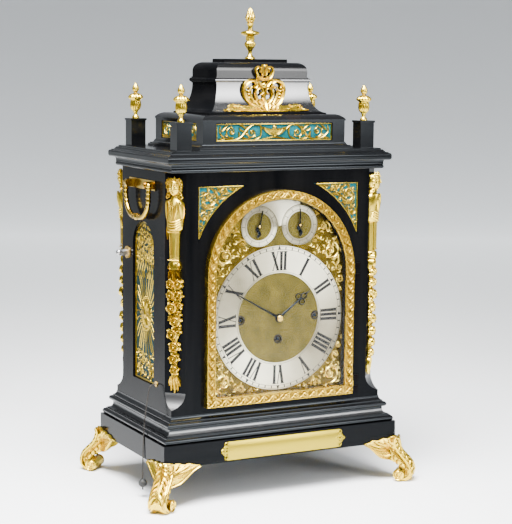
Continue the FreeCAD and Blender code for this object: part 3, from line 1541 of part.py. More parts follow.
def strike_hammer():
    """Hammer on an arbor through both plates, hanging beside the outer turn of the gong."""
    axis = Vector(hammer_x, y_front_plate, hammer_level)
    end = Vector(hammer_x, y_gong + hammer_arm / 2, hammer_level)
    arm = block(hammer_x - hammer_arm / 2, hammer_x + hammer_arm / 2, y_gong - hammer_arm / 2,
                y_gong + hammer_arm / 2, gong_level, hammer_level)
    head = Vector(hammer_x - hammer_head_length / 2, y_gong, gong_level)
    return [joined([rod(hammer_arbor, axis, end), arm,
                    rod(hammer_head_radius, head, head + RIGHT * hammer_head_length)])]


# Pull cord

def pull_cord():
    """Tube along the route: straight runs joined by tangent arcs."""
    points = [Vector(*point) for point in cord_route]
    edges = []
    here = points[0]
    for number in range(1, len(points) - 1):
        before = points[number] - points[number - 1]
        after = points[number + 1] - points[number]
        turn = before.getAngle(after)
        shorter = min(before.Length, after.Length)
        radius = cord_bend_share * shorter / math.tan(turn / 2)
        if number == cord_edge_point:
            radius = cord_edge_radius
        print("cord: radius at point", number, round(radius, 2))
        setback = radius * math.tan(turn / 2)
        start = points[number] - before.normalize() * setback
        end = points[number] + after.normalize() * setback
        towards = (after - before).normalize()
        middle = points[number] + towards * (radius / math.cos(turn / 2) - radius)
        edges += [Part.LineSegment(here, start).toShape(), Part.Arc(start, middle, end).toShape()]
        here = end
    edges.append(Part.LineSegment(here, points[-1]).toShape())
    length = sum(edge.Length for edge in edges)
    path = Part.Wire(edges)
    ring_wire = Part.Wire(Part.makeCircle(cord_diameter / 2, points[0], points[1] - points[0]))
    tube = path.makePipeShell([ring_wire], True, False)
    fill = tube.Volume / (math.pi * cord_diameter ** 2 / 4 * length)
    print("cord: length", round(length, 2), "volume over section times length", round(fill, 4))
    return [tube]


def pull_ball():
    """Turned ball at the end of the cord, flat where the cord enters, with the knot's tail below."""
    end = Vector(*cord_route[-1])
    drop = math.sqrt(ball_radius ** 2 - ball_flat ** 2)
    centre = end - UP * drop
    above = block(centre.x - ball_radius, centre.x + ball_radius, centre.y - ball_radius,
                  centre.y + ball_radius, end.z, end.z + ball_radius)
    tail = rod(ball_tail_radius, centre - UP * (ball_radius + ball_tail), centre)
    return [joined([Part.makeSphere(ball_radius, centre).cut(above), tail])]


nodes = {
    "bracket_feet": bracket_feet(),
    "baseboard": baseboard(),
    "plinth_boards": plinth_boards(),
    "base_moulding": base_moulding(),
    "corner_posts": corner_posts(),
    "side_frames": side_frames(),
    "front_frame": front_frame(),
    "back_frame": back_frame(),
    "cornice_moulding": cornice_moulding(),
    "top_board": top_board(),
    "frieze_mouldings": frieze_mouldings(),
    "frieze_boards": frieze_boards(),
    "bell_lower": bell_lower(),
    "bell_upper": bell_upper(),
    "bell_top_plate": bell_top_plate(),
    "pedestals": pedestals(),
    "urn_finials": urn_finials(),
    "top_finial": top_finial(),
    "crest_mount": crest_mount(),
    "frieze_frets": frieze_frets(),
    "side_frets": side_frets(),
    "spandrel_frets": spandrel_frets(),
    "fret_silks": fret_silks(),
    "corner_figures": corner_figures(),
    "plinth_plaque": plinth_plaque(),
    "handle_lugs": handle_lugs(),
    "left_bail": bail(-1),
    "right_bail": bail(1),
    "bezel_frame": bezel_frame(),
    "bezel_glass": bezel_glass(),
    "back_door_frame": back_door_frame(),
    "back_door_glass": back_door_glass(),
    "case_hardware": case_hardware(),
    "side_knob": side_knob(),
    "dial_plate": dial_plate(),
    "chapter_ring": chapter_ring(),
    "arch_silvering": arch_silvering(),
    "dial_spandrels": dial_spandrels(),
    "hour_hand": hour_hand(),
    "minute_hand": minute_hand(),
    "strike_hand": sub_hand(-1, left_sub_hand_angle),
    "chime_hand": sub_hand(1, right_sub_hand_angle),
    "movement_plates": movement_plates(),
    "movement_pillars": movement_pillars(),
    "seat_board": seat_board(),
    "cannon_pinion": cannon_pinion(),
    "minute_wheel": minute_wheel(),
    "hour_wheel": hour_wheel(),
    "train_wheels": train_wheels(),
    "spring_barrels": spring_barrels(),
    "strike_winder": winder("strike_winder"),
    "going_winder": winder("going_winder"),
    "chime_winder": winder("chime_winder"),
    "escape_wheel": escape_wheel(),
    "pallets": pallets(),
    "pendulum": pendulum(),
    "strike_gong": strike_gong(),
    "strike_hammer": strike_hammer(),
    "pull_cord": pull_cord(),
    "pull_ball": pull_ball(),
}

os.makedirs("parts", exist_ok=True)
for name, solids in nodes.items():
    shape = solids[0] if len(solids) == 1 else Part.makeCompound(solids)
    shape.exportStep("parts/" + name + ".step")
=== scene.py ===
import math

import bmesh
import bpy
from mathutils import Matrix, Vector


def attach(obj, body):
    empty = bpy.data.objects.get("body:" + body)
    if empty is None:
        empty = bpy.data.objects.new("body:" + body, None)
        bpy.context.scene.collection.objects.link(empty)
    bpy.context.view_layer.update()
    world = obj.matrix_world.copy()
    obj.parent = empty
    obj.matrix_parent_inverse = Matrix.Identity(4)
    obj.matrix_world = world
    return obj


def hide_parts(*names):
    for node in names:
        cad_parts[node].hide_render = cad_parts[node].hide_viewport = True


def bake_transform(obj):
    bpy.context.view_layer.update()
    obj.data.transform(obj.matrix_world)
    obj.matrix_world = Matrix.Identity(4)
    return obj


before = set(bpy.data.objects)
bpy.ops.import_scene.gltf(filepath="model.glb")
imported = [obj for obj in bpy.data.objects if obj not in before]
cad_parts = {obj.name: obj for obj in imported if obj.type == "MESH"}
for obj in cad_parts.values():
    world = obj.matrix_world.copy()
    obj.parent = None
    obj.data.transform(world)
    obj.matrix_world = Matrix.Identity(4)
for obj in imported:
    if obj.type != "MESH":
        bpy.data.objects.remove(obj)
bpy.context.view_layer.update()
mm = 0.001


# Studio: a sweep of pale paper under and behind the clock, lit by large soft boxes and glowing with
# painted light behind it.
# The camera stands before the clock's left corner, about as high as the top of the bell.

class Shade:
    """One output of a finish. Arithmetic on it adds Math nodes."""

    def __init__(self, finish, socket):
        self.finish = finish
        self.socket = socket

    def __add__(self, other):
        return self.finish.maths("ADD", self, other)

    def __sub__(self, other):
        return self.finish.maths("SUBTRACT", self, other)

    def __rsub__(self, other):
        return self.finish.maths("SUBTRACT", other, self)

    def __mul__(self, other):
        return self.finish.maths("MULTIPLY", self, other)

    def __gt__(self, other):
        return self.finish.maths("GREATER_THAN", self, other)

    def __lt__(self, other):
        return self.finish.maths("LESS_THAN", self, other)

    def __abs__(self):
        return self.finish.maths("ABSOLUTE", self, 0.0)

    __radd__ = __add__
    __rmul__ = __mul__


class Finish:
    """A node material. Every node comes from node(): its type, its settings, then its sockets."""

    def __init__(self, name):
        self.material = bpy.data.materials.new(name)
        self.material.use_nodes = True
        self.tree = self.material.node_tree
        self.shader = self.tree.nodes["Principled BSDF"]

    def node(self, kind, settings, sockets, output=0):
        node = self.tree.nodes.new(kind)
        for name, value in settings.items():
            if name == "stops":
                ramp = node.color_ramp.elements
                while len(ramp) < len(value):
                    ramp.new(1.0)
                for element, (position, colour) in zip(ramp, value):
                    element.position = position
                    element.color = (*colour, 1.0)
            else:
                setattr(node, name, value)
        for name, value in sockets.items():
            self.feed(node.inputs[name], value)
        return Shade(self, node.outputs[output])

    def feed(self, socket, value):
        if isinstance(value, Shade):
            self.tree.links.new(value.socket, socket)
        else:
            socket.default_value = value

    def maths(self, operation, first, second):
        return self.node("ShaderNodeMath", {"operation": operation}, {0: first, 1: second})

    def place(self, scale=(1.0, 1.0, 1.0), shift=(0.0, 0.0, 0.0)):
        spot = self.node("ShaderNodeTexCoord", {}, {}, "Object")
        return self.node("ShaderNodeMapping", {}, {"Vector": spot, "Scale": scale, "Location": shift})

    def axis(self, spot, letter):
        return self.node("ShaderNodeSeparateXYZ", {}, {"Vector": spot}, letter)

    def noise(self, spot, scale, detail=3.0):
        return self.node("ShaderNodeTexNoise", {}, {"Vector": spot, "Scale": scale, "Detail": detail})

    def ramp(self, value, *stops):
        return self.node("ShaderNodeValToRGB", {"stops": stops}, {"Fac": value})

    def blend(self, share, first, second):
        return self.node("ShaderNodeMix", {"data_type": "RGBA"}, {0: share, 6: first, 7: second}, 2)

    def bump(self, height, strength, depth):
        sockets = {"Height": height, "Strength": strength, "Distance": depth}
        return self.node("ShaderNodeBump", {}, sockets)

    def surface(self, values):
        for name, value in values.items():
            self.feed(self.shader.inputs[name], value)
        return self


heading = math.radians(27.531)
downward = math.radians(7.384)
lean = math.radians(0.546)
camera_place = (-1.0266, -1.9949, 0.6159)
camera_lens = 103.87
aim = Matrix.Rotation(-heading, 4, "Z") @ Matrix.Rotation(math.pi / 2 - downward, 4, "X")
camera = bpy.data.objects.new("camera", bpy.data.cameras.new("camera"))
camera.matrix_world = Matrix.Translation(camera_place) @ aim @ Matrix.Rotation(lean, 4, "Z")
camera.data.lens = camera_lens
bpy.context.collection.objects.link(camera)
bpy.context.scene.camera = camera

sweep_half_width = 40.0
sweep_start = -40.0
sweep_bend = 3.4
sweep_radius = 1.8
sweep_top = 14.0
line = [(sweep_start, 0.0), (sweep_bend, 0.0)]
for step in range(1, 13):
    bend = math.radians(90 * step / 12)
    line.append((sweep_bend + sweep_radius * math.sin(bend), sweep_radius * (1 - math.cos(bend))))
line.append((sweep_bend + sweep_radius, sweep_top))
ahead = Vector((math.sin(heading), math.cos(heading), 0))
aside = Vector((math.cos(heading), -math.sin(heading), 0))
points = []
faces = []
for along, height in line:
    for across in (-sweep_half_width, sweep_half_width):
        points.append(ahead * along + aside * across + Vector((0, 0, height - 0.0002)))
for row in range(len(line) - 1):
    faces.append((2 * row, 2 * row + 1, 2 * row + 3, 2 * row + 2))
paper = bpy.data.meshes.new("paper_sweep")
paper.from_pydata(points, [], faces)
paper.shade_smooth()
paper_finish = Finish("pale_paper")
fibre = paper_finish.noise(paper_finish.place(), 260.0)
depth = paper_finish.node("ShaderNodeVectorMath", {"operation": "DOT_PRODUCT"},
                          {0: paper_finish.place(), 1: tuple(ahead)}, "Value")
# Painted light: the paper itself glows in a wide band behind the clock.
painted_glow = paper_finish.ramp(depth * 0.1 + 0.2, (0.24, (0.0, 0.0, 0.0)), (0.34, (0.2, 0.21, 0.21)),
                         (0.52, (0.4, 0.42, 0.43)), (0.74, (0.0, 0.0, 0.002)))
paper_finish.surface({"Base Color": paper_finish.ramp(fibre, (0.3, (0.79, 0.8, 0.81)),
                                                      (0.7, (0.82, 0.83, 0.84))),
                      "Roughness": 0.75 + fibre * 0.1, "Emission Color": painted_glow, "Emission Strength": 3.0})
paper.materials.append(paper_finish.material)
sweep = bpy.data.objects.new("paper_sweep", paper)
bpy.context.collection.objects.link(sweep)


def soft_box(name, place, target, width, height, power, spread):
    """Rectangular diffused lamp that faces a target, with a grid that keeps its beam inside an angle."""
    lamp = bpy.data.lights.new(name, "AREA")
    lamp.shape = "RECTANGLE"
    lamp.size = width
    lamp.size_y = height
    lamp.energy = power
    lamp.spread = math.radians(spread)
    holder = bpy.data.objects.new(name, lamp)
    holder.location = place
    holder.rotation_euler = (Vector(target) - Vector(place)).to_track_quat("-Z", "Y").to_euler()
    bpy.context.collection.objects.link(holder)


soft_box("overhead_box", (-0.4, -0.5, 1.65), (-0.1, -0.2, 0.0), 1.1, 1.0, 118, 120)
soft_box("front_left_box", (-1.9, -1.5, 1.7), (0.0, 0.0, 0.3), 1.1, 1.1, 5, 90)
soft_box("front_right_box", (1.12, -2.22, 1.36), (0.0, 0.0, 0.55), 0.62, 1.95, 10, 60)
world = bpy.data.worlds.new("studio_air")
world.use_nodes = True
air = world.node_tree.nodes["Background"].inputs
air["Color"].default_value = (0.62, 0.66, 0.7, 1.0)
air["Strength"].default_value = 0.32
bpy.context.scene.world = world


# Case: pearwood boards and run mouldings, glued and mitred, stained black and French polished.
# The grain is filled and runs up the posts and along the rails and mouldings.

def ebonised(name, grain_scale, gloss):
    wood = Finish(name)
    grain = wood.noise(wood.place(grain_scale), 55.0, 6.0)
    haze = wood.noise(wood.place(), 9.0)
    black = wood.ramp(grain, (0.3, (0.0012, 0.0013, 0.0016)), (0.72, (0.0036, 0.0036, 0.0038)))
    rubbed = (haze > 0.66) * (grain > 0.56)
    scuffs = wood.noise(wood.place(), 420.0, 2.0)
    return wood.surface({"Base Color": wood.blend(rubbed * 0.08, black, (0.02, 0.01, 0.005, 1.0)),
                         "Roughness": 0.08 + haze * 0.1 + grain * 0.05 + (scuffs > 0.7) * 0.1,
                         "IOR": gloss, "Specular Tint": (0.82, 0.92, 1.0, 1.0),
                         "Normal": wood.bump(grain + scuffs * 0.3, 0.06, 0.0004)})


def dress(finish, *names):
    for name in names:
        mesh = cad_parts[name].data
        mesh.materials.clear()
        mesh.materials.append(finish.material)


upright_grain = (1.0, 1.0, 0.06)
level_grain = (0.06, 0.3, 1.0)
upright_wood = ebonised("ebonised_upright", upright_grain, 1.12)
level_wood = ebonised("ebonised_level", level_grain, 1.14)
moulding_wood = ebonised("ebonised_mouldings", level_grain, 1.3)
dress(upright_wood, "side_frames", "front_frame", "back_frame", "back_door_frame")
dress(level_wood, "plinth_boards", "top_board", "baseboard")
dress(moulding_wood, "cornice_moulding", "frieze_mouldings", "frieze_boards", "pedestals")


# Polished places: the long faces of the bell, the scoops of the corner posts and the hollow of the base.
# They are the same black wood, waxed to a brighter shine than the flat boards.

bell_foot = 0.5505
bell_bead = 0.5965
bell_plate = 0.6212
bell_mitre = 0.0332
cushion_dulling = 0.78
bell_wood = ebonised("ebonised_bell", level_grain, 1.04)
spot = bell_wood.place()
rise = bell_wood.axis(spot, "Z")
long_face = abs(bell_wood.axis(spot, "X")) - abs(bell_wood.axis(spot, "Y")) < bell_mitre
cushion = 1.0 - (rise > bell_bead) * cushion_dulling
waxed = long_face * (rise > bell_foot) * (rise < bell_plate) * cushion
bell_wood.surface({"Coat Weight": waxed, "Coat IOR": 2.2, "Coat Roughness": 0.2})
dress(bell_wood, "bell_upper", "bell_top_plate")

post_side = 0.1702
post_front = 0.0992
scoop_top = 0.157
post_wood = ebonised("ebonised_posts", upright_grain, 1.12)
spot = post_wood.place()
off_faces = (abs(post_wood.axis(spot, "X")) < post_side) * (abs(post_wood.axis(spot, "Y")) < post_front)
scoop = off_faces * (post_wood.axis(spot, "Z") < scoop_top)
post_wood.surface({"Coat Weight": scoop, "Coat IOR": 1.8, "Coat Roughness": 0.38})
dress(post_wood, "corner_posts")

base_front = 0.104
hollow_low = 0.1
hollow_high = 0.1063
base_wood = ebonised("ebonised_base", level_grain, 1.3)
spot = base_wood.place()
rise = base_wood.axis(spot, "Z")
hollow = (abs(base_wood.axis(spot, "Y")) > base_front) * (rise > hollow_low) * (rise < hollow_high)
base_wood.surface({"Coat Weight": hollow, "Coat IOR": 2.0, "Coat Roughness": 0.3})
dress(base_wood, "base_moulding")


# Seat board: a plain oak board across the carcase, oiled brown, that carries the movement.
# It shows only through the glass of the back door.

oak = Finish("oiled_oak")
figure = oak.noise(oak.place((0.08, 1.0, 1.0)), 70.0, 5.0)
oak_brown = oak.ramp(figure, (0.25, (0.09, 0.045, 0.018)), (0.6, (0.21, 0.115, 0.05)),
                     (0.8, (0.27, 0.16, 0.075)))
oak.surface({"Base Color": oak_brown, "Roughness": 0.45 + figure * 0.2,
             "Normal": oak.bump(figure, 0.2, 0.0005)})
dress(oak, "seat_board")


# Feet: four gilt brass castings screwed under the corners of the plinth.
# A veined leaf sweeps out and down and rolls under into a scroll, with a leafy wing along each side.

def gilding(name, bright, hollow_tone, sheen=0.24):
    """Fire gilding on cast brass: bright where it stands out, brown in the hollows."""
    gilt = Finish(name)
    open_air = gilt.node("ShaderNodeAmbientOcclusion", {"samples": 6, "only_local": True},
                         {"Distance": 0.005}, "AO")
    cloud = gilt.noise(gilt.place(), 45.0)
    grit = gilt.noise(gilt.place(), 1500.0, 2.0)
    tone = gilt.ramp(open_air + cloud * 0.2, (0.5, hollow_tone), (0.92, bright))
    pale = (bright[0] * 1.06, bright[1] * 1.1, bright[2] * 1.3, 1.0)
    return gilt.surface({"Base Color": gilt.blend(cloud * 0.6, tone, pale), "Metallic": 1.0,
                         "Roughness": sheen - 0.08 + (1 - open_air) * 0.35 + cloud * 0.1,
                         "Normal": gilt.bump(grit, 0.1, 0.0003)})


def smooth_piece(name, mesh, slot, body):
    """Points the faces outwards, smooths between sharp edges and fixes the piece to its body."""
    shape = bmesh.new()
    shape.from_mesh(mesh)
    bmesh.ops.recalc_face_normals(shape, faces=shape.faces)
    shape.to_mesh(mesh)
    shape.free()
    mesh.shade_smooth()
    mesh.set_sharp_from_angle(angle=math.radians(55))
    piece = bpy.data.objects.new(name, mesh)
    bpy.context.collection.objects.link(piece)
    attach(piece, body)
    return piece


def sized(size):
    """A size as it follows the share of a path's length. A plain number stays the same all along."""
    return size if callable(size) else lambda share: size


def stations(path):
    """At each point of a flat path: its share of the length, its place and the way to its side."""
    last = len(path) - 1
    for number, (u, v) in enumerate(path):
        before = path[max(number - 1, 0)]
        after = path[min(number + 1, last)]
        run = math.hypot(after[0] - before[0], after[1] - before[1])
        yield number / last, u, v, (before[1] - after[1]) / run, (after[0] - before[0]) / run


class Casting:
    """Closed shells of one piece, gathered in millimetres of the clock's own frame."""

    round_back = ((-1, 0), (-0.75, 0.65), (0, 1), (0.75, 0.65), (1, 0))
    leaf_back = ((-1, 0), (-0.6, 0.9), (0, 0.45), (0.6, 0.9), (1, 0))

    def __init__(self):
        self.points = []
        self.faces = []

    def shell(self, rings, place):
        """Skin over closed rings of equal length, with a cap at each end."""
        first = len(self.points)
        count = len(rings[0])
        for ring in rings:
            self.points += [place(*point) for point in ring]
        for row in range(len(rings) - 1):
            low = first + row * count
            for side in range(count):
                after = (side + 1) % count
                self.faces.append((low + side, low + after, low + count + after, low + count + side))
        last = first + (len(rings) - 1) * count
        self.faces.append(tuple(range(first, first + count)))
        self.faces.append(tuple(range(last, last + count)))

    def ridge(self, path, breadth, rise, place, base=0.0, section=round_back):
        """Raised strip along a path. Breadth and rise are sizes, or follow the share of its length."""
        rings = []
        for share, u, v, side_u, side_v in stations(path):
            half = sized(breadth)(share) / 2
            top = sized(rise)(share)
            rings.append([(u + side_u * half * s, v + side_v * half * s, base + top * h)
                          for s, h in section])
        self.shell(rings, place)

    def leaf(self, path, breadth, rise, place, base=0.0):
        """Ridge with a furrow down its middle, as on a leaf."""
        self.ridge(path, breadth, rise, place, base, self.leaf_back)

    def dome(self, centre, radius, rise, place, base=0.0, sides=10):
        """Round boss that stands on a flat place."""
        rings = []
        for size, height in ((1.0, 0.0), (0.92, 0.4), (0.68, 0.78), (0.36, 0.95), (0.08, 1.0)):
            ring = []
            for side in range(sides):
                angle = math.tau * side / sides
                ring.append((centre[0] + radius * size * math.cos(angle),
                             centre[1] + radius * size * math.sin(angle), base + rise * height))
            rings.append(ring)
        self.shell(rings, place)

    def band(self, path, width, thick, place):
        """Strip bent along a path in side view, its back plain and its face ribbed like a leaf."""
        ribs = ((0.5, 0.1), (0.37, 0.8), (0.26, 0.45), (0.13, 1.0), (0.0, 0.6), (-0.13, 1.0),
                (-0.26, 0.45), (-0.37, 0.8), (-0.5, 0.1), (-0.5, -0.7), (0.5, -0.7))
        rings = []
        for share, u, v, out_u, out_v in stations(path):
            wide = width(share)
            rings.append([(u + out_u * thick * h, v + out_v * thick * h, wide * s) for s, h in ribs])
        self.shell(rings, place)

    def slab(self, outline, low, high, edge, place):
        """Flat plate with a softened front edge."""
        middle_u = sum(point[0] for point in outline) / len(outline)
        middle_v = sum(point[1] for point in outline) / len(outline)
        rings = []
        for height, size in ((low, 1.0), (high - edge, 1.0), (high, 1 - edge / 12)):
            rings.append([(middle_u + (u - middle_u) * size, middle_v + (v - middle_v) * size, height)
                          for u, v in outline])
        self.shell(rings, place)

    def mesh(self, name):
        mesh = bpy.data.meshes.new(name)
        mesh.from_pydata([Vector(point) * mm for point in self.points], [], self.faces)
        return mesh

    def settle(self, name, finish, *stands_for, slot="gilt_brass", body="case"):
        """Makes the piece and fixes it to its body, in place of the nodes that it stands for."""
        mesh = self.mesh(name)
        mesh.materials.append(finish.material)
        piece = smooth_piece(name, mesh, slot, body)
        if stands_for:
            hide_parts(*stands_for)
        return piece


def curl(centre, outer, inner, start, sweep, steps=24):
    """Points of a spiral round a centre. Angles are in degrees."""
    points = []
    for step in range(steps + 1):
        radius = outer + (inner - outer) * step / steps
        angle = math.radians(start + sweep * step / steps)
        points.append((centre[0] + radius * math.cos(angle), centre[1] + radius * math.sin(angle)))
    return points


def bow(root, bend, tip, steps=6):
    """Points of a curve from root to tip that leans towards a third point."""
    points = []
    for step in range(steps + 1):
        far = step / steps
        near = 1 - far
        points.append(tuple(near * near * a + 2 * near * far * b + far * far * c
                            for a, b, c in zip(root, bend, tip)))
    return points


def flowing(corners, steps=4):
    """Smooth curve through given points."""
    ends = [corners[0]] + list(corners) + [corners[-1]]
    points = []
    for a, b, c, d in zip(ends, ends[1:], ends[2:], ends[3:]):
        for step in range(steps):
            t = step / steps
            points.append(tuple(0.5 * (2 * q + (r - p) * t + (2 * p - 5 * q + 4 * r - s) * t * t
                                       + (3 * q - p - 3 * r + s) * t ** 3)
                                for p, q, r, s in zip(a, b, c, d)))
    return points + [corners[-1]]


def dwindle(wide, tip):
    return lambda share: wide + (tip - wide) * share


def swell(wide, tip=0.12):
    return lambda share: wide * (tip + (1 - tip) * math.sin(math.pi * share ** 0.75))


gilt = gilding("fire_gilding", (0.77, 0.525, 0.035), (0.11, 0.055, 0.004))
plinth_half_width = 190
plinth_half_depth = 119
leg_line = flowing([(5, 65.5), (2.5, 60), (4, 52), (9, 43), (17, 35), (24, 27.5), (27.6, 18), (26, 8.5),
                    (18.5, 2.9)])
leg_roll = curl((10, 10.5), 8, 2.2, -88, -420)
leg_strip = leg_line + leg_roll[1:12]
leg_core = [(-13, 57), (1, 57), (3, 51), (8, 42), (16, 34), (23, 27), (26, 18), (24, 9.5), (18, 4.5),
            (14, 6), (15, 14), (13.5, 20), (7, 25), (-1, 28.5), (-13, 32)]
wing_low = flowing([(-2, 27), (9, 31), (23, 34.5), (30.5, 39.6), (38, 46), (45, 52), (54, 57)], 2)
wing_high = flowing([(54, 59.5), (46, 60.5), (38, 63.5), (31, 62), (22, 65), (14, 64), (6, 66.5),
                     (-2, 66.5)], 2)
wing_tips = ((5, 65), (14, 63), (23, 63.5), (32, 61), (40, 61.5), (50, 58.5), (41, 51), (33, 45),
             (24, 39), (14, 34.5))
feet = Casting()
for side_x in (-1, 1):
    for side_y in (-1, 1):
        def on_leg(out, level, across):
            step_x = (out - across) * math.sqrt(0.5)
            step_y = (out + across) * math.sqrt(0.5)
            return (side_x * (plinth_half_width + step_x), side_y * (plinth_half_depth + step_y),
                    max(level, 0.0))

        def on_front(along, level, proud):
            return (side_x * (plinth_half_width - along), side_y * (plinth_half_depth + proud), level)

        def on_side(along, level, proud):
            return (side_x * (plinth_half_width + proud), side_y * (plinth_half_depth - along), level)

        def leg_width(share):
            return 22 + 13 * max(0.0, share - 0.35) / 0.65

        def on_strip(across, along, proud):
            """A place on the outer face of the leg: across it and so many steps down it."""
            step = min(max(int(along), 0), len(leg_strip) - 2)
            part = along - step
            u, v = (a + (b - a) * part for a, b in zip(leg_strip[step], leg_strip[step + 1]))
            run_u, run_v = (b - a for a, b in zip(leg_strip[step], leg_strip[step + 1]))
            run = math.hypot(run_u, run_v)
            return on_leg(u - run_v / run * proud, v + run_u / run * proud, across)

        feet.band(leg_strip, leg_width, 2.2, on_leg)
        for number in range(10):
            low = 3.2 * number
            wide = leg_width(low / len(leg_strip)) * 0.5
            for side in (-1, 1):
                root = (side * 1.5, low)
                bend = (side * wide * 0.7, low + 1)
                tip = (side * wide * 0.9, low + 5)
                feet.leaf(bow(root, bend, tip), swell(4.6, 0.35), swell(3.4, 0.5), on_strip, 0.4)
        feet.leaf([(0, 0.5), (0, 12), (0, 24), (0, 36)], 3.2, 3.6, on_strip, 0.6)
        feet.shell([[(u, v, across) for u, v in leg_core] for across in (-9, 9)], on_leg)
        for side in (-1, 1):
            def on_cheek(out, level, proud):
                return on_leg(out, level, side * (8.6 + proud))

            def on_toe(out, level, proud):
                return on_leg(out, level, side * (16.6 + proud))

            feet.leaf(flowing([(-9, 52), (0, 43), (10, 33), (19, 22), (21, 9)]), swell(6, 0.4),
                      swell(3.4, 0.5), on_cheek)
            for number in range(6):
                low = (-8 + 5 * number, 51 - 6.6 * number)
                for hand in (-1, 1):
                    tip = (low[0] + 4 + hand * 4, low[1] - 4 + hand * 4)
                    feet.leaf(bow(low, (low[0] + hand * 4, low[1] + hand * 3), tip), swell(3.6),
                              swell(2.8, 0.4), on_cheek)
            feet.dome((10, 10.5), 8.6, 0.8, on_toe, 0, 20)
            feet.ridge(curl((10, 10.5), 8, 1.6, -60, -560, 36), dwindle(2.8, 1.6), 2.4, on_toe)
        for wing in (on_front, on_side):
            feet.slab(wing_low + wing_high, -2, 3.0, 0.8, wing)
            feet.ridge(wing_low, swell(3.4, 0.5), 2.2, wing, 2.4)
            for tip in wing_tips:
                root = (4 + tip[0] * 0.16, 44 + (tip[1] - 48) * 0.3)
                bend = ((root[0] + tip[0]) / 2, (root[1] + tip[1]) / 2 - 3)
                feet.leaf(bow(root, bend, tip), swell(7.5, 0.2), swell(2.6, 0.3), wing, 2.6)
feet.settle("leaf_scroll_feet", gilt, "bracket_feet")


# Plinth plaque: a plain sheet of gilt brass with scrolled ends, pinned to the front of the plinth.
# It is left bare and polished.

plaque_gilt = gilding("polished_plaque", (0.36, 0.27, 0.012), (0.22, 0.15, 0.008), 0.34)
plaque_middle = 73
plaque_half = 92
plaque_rise = 13.5


def on_plinth(along, level, proud):
    return (along, -plinth_half_depth - proud, level)


plaque = Casting()
corner = [(plaque_half, plaque_middle - plaque_rise), (plaque_half, plaque_middle + plaque_rise),
          (-plaque_half, plaque_middle + plaque_rise), (-plaque_half, plaque_middle - plaque_rise)]
plaque.slab(corner, 0.05, 1.2, 0.2, on_plinth)
for side in (-1, 1):
    for half in (-1, 1):
        def on_end(along, level, proud):
            return on_plinth(side * (plaque_half + along), plaque_middle + half * level, proud)

        plaque.ridge(curl((1.6, 9.2), 3.6, 1.0, 200, -400), dwindle(2.2, 1.4), 1.3, on_end, 0.2)
        plaque.ridge(bow((-1, 6.5), (4, 6.8), (6.2, 3.2)), swell(3.6, 0.4), 1.3, on_end, 0.2)
        plaque.ridge(bow((-1, 2.2), (5, 3.5), (9.6, 0.6)), swell(4.2, 0.4), 1.4, on_end, 0.2)
        plaque.dome((-1.5, 9.4), 1.3, 1.2, on_end, 1.0)
        plaque.dome((2.6, 4.6), 1.3, 1.4, on_end, 0.8)
    plaque.dome((side * (plaque_half + 3.6), plaque_middle), 1.5, 1.6, on_plinth, 0.8)
    plaque.dome((side * (plaque_half - 4.5), plaque_middle), 1.5, 0.8, on_plinth, 1.2)
plaque.settle("plinth_nameplate", plaque_gilt, "plinth_plaque")


# Corner figures: a gilt brass casting pinned to each canted corner.
# A draped bust on a tapering shaft ends in a scroll bracket, with a fall of roses below it.

def petalled(casting, centre, radius, place, base, petals=6):
    """Open rose: a ring of petals round a button."""
    for number in range(petals):
        angle = math.tau * number / petals + 0.3
        tip = (centre[0] + radius * math.cos(angle), centre[1] + radius * math.sin(angle))
        casting.leaf(bow(centre, centre, tip, 4), swell(radius * 1.05, 0.3), swell(radius * 0.55, 0.45),
                     place, base)
    casting.dome(centre, radius * 0.36, radius * 0.75, place, base, 8)


def rose(casting, centre, radius, place, base):
    """Full-blown rose: a rim of outer petals, a hollow, a ring of inner ones and a round heart."""
    casting.dome(centre, radius, radius * 0.3, place, base, 12)
    casting.ridge(curl(centre, radius * 0.82, radius * 0.82, 0, 360, 12), radius * 0.4, radius * 0.6,
                  place, base)
    casting.ridge(curl(centre, radius * 0.42, radius * 0.42, 0, 360, 8), radius * 0.3, radius * 0.75,
                  place, base)
    casting.dome(centre, radius * 0.24, radius * 0.9, place, base, 8)


def rounded(casting, levels, place, sides=14):
    """Half-round body from rings of half width, depth and level."""
    rings = []
    for half, depth, level in levels:
        ring = []
        for side in range(sides + 1):
            angle = math.pi * side / sides
            ring.append((half * math.cos(angle), level, depth * math.sin(angle)))
        rings.append(ring)
    casting.shell(rings, place)


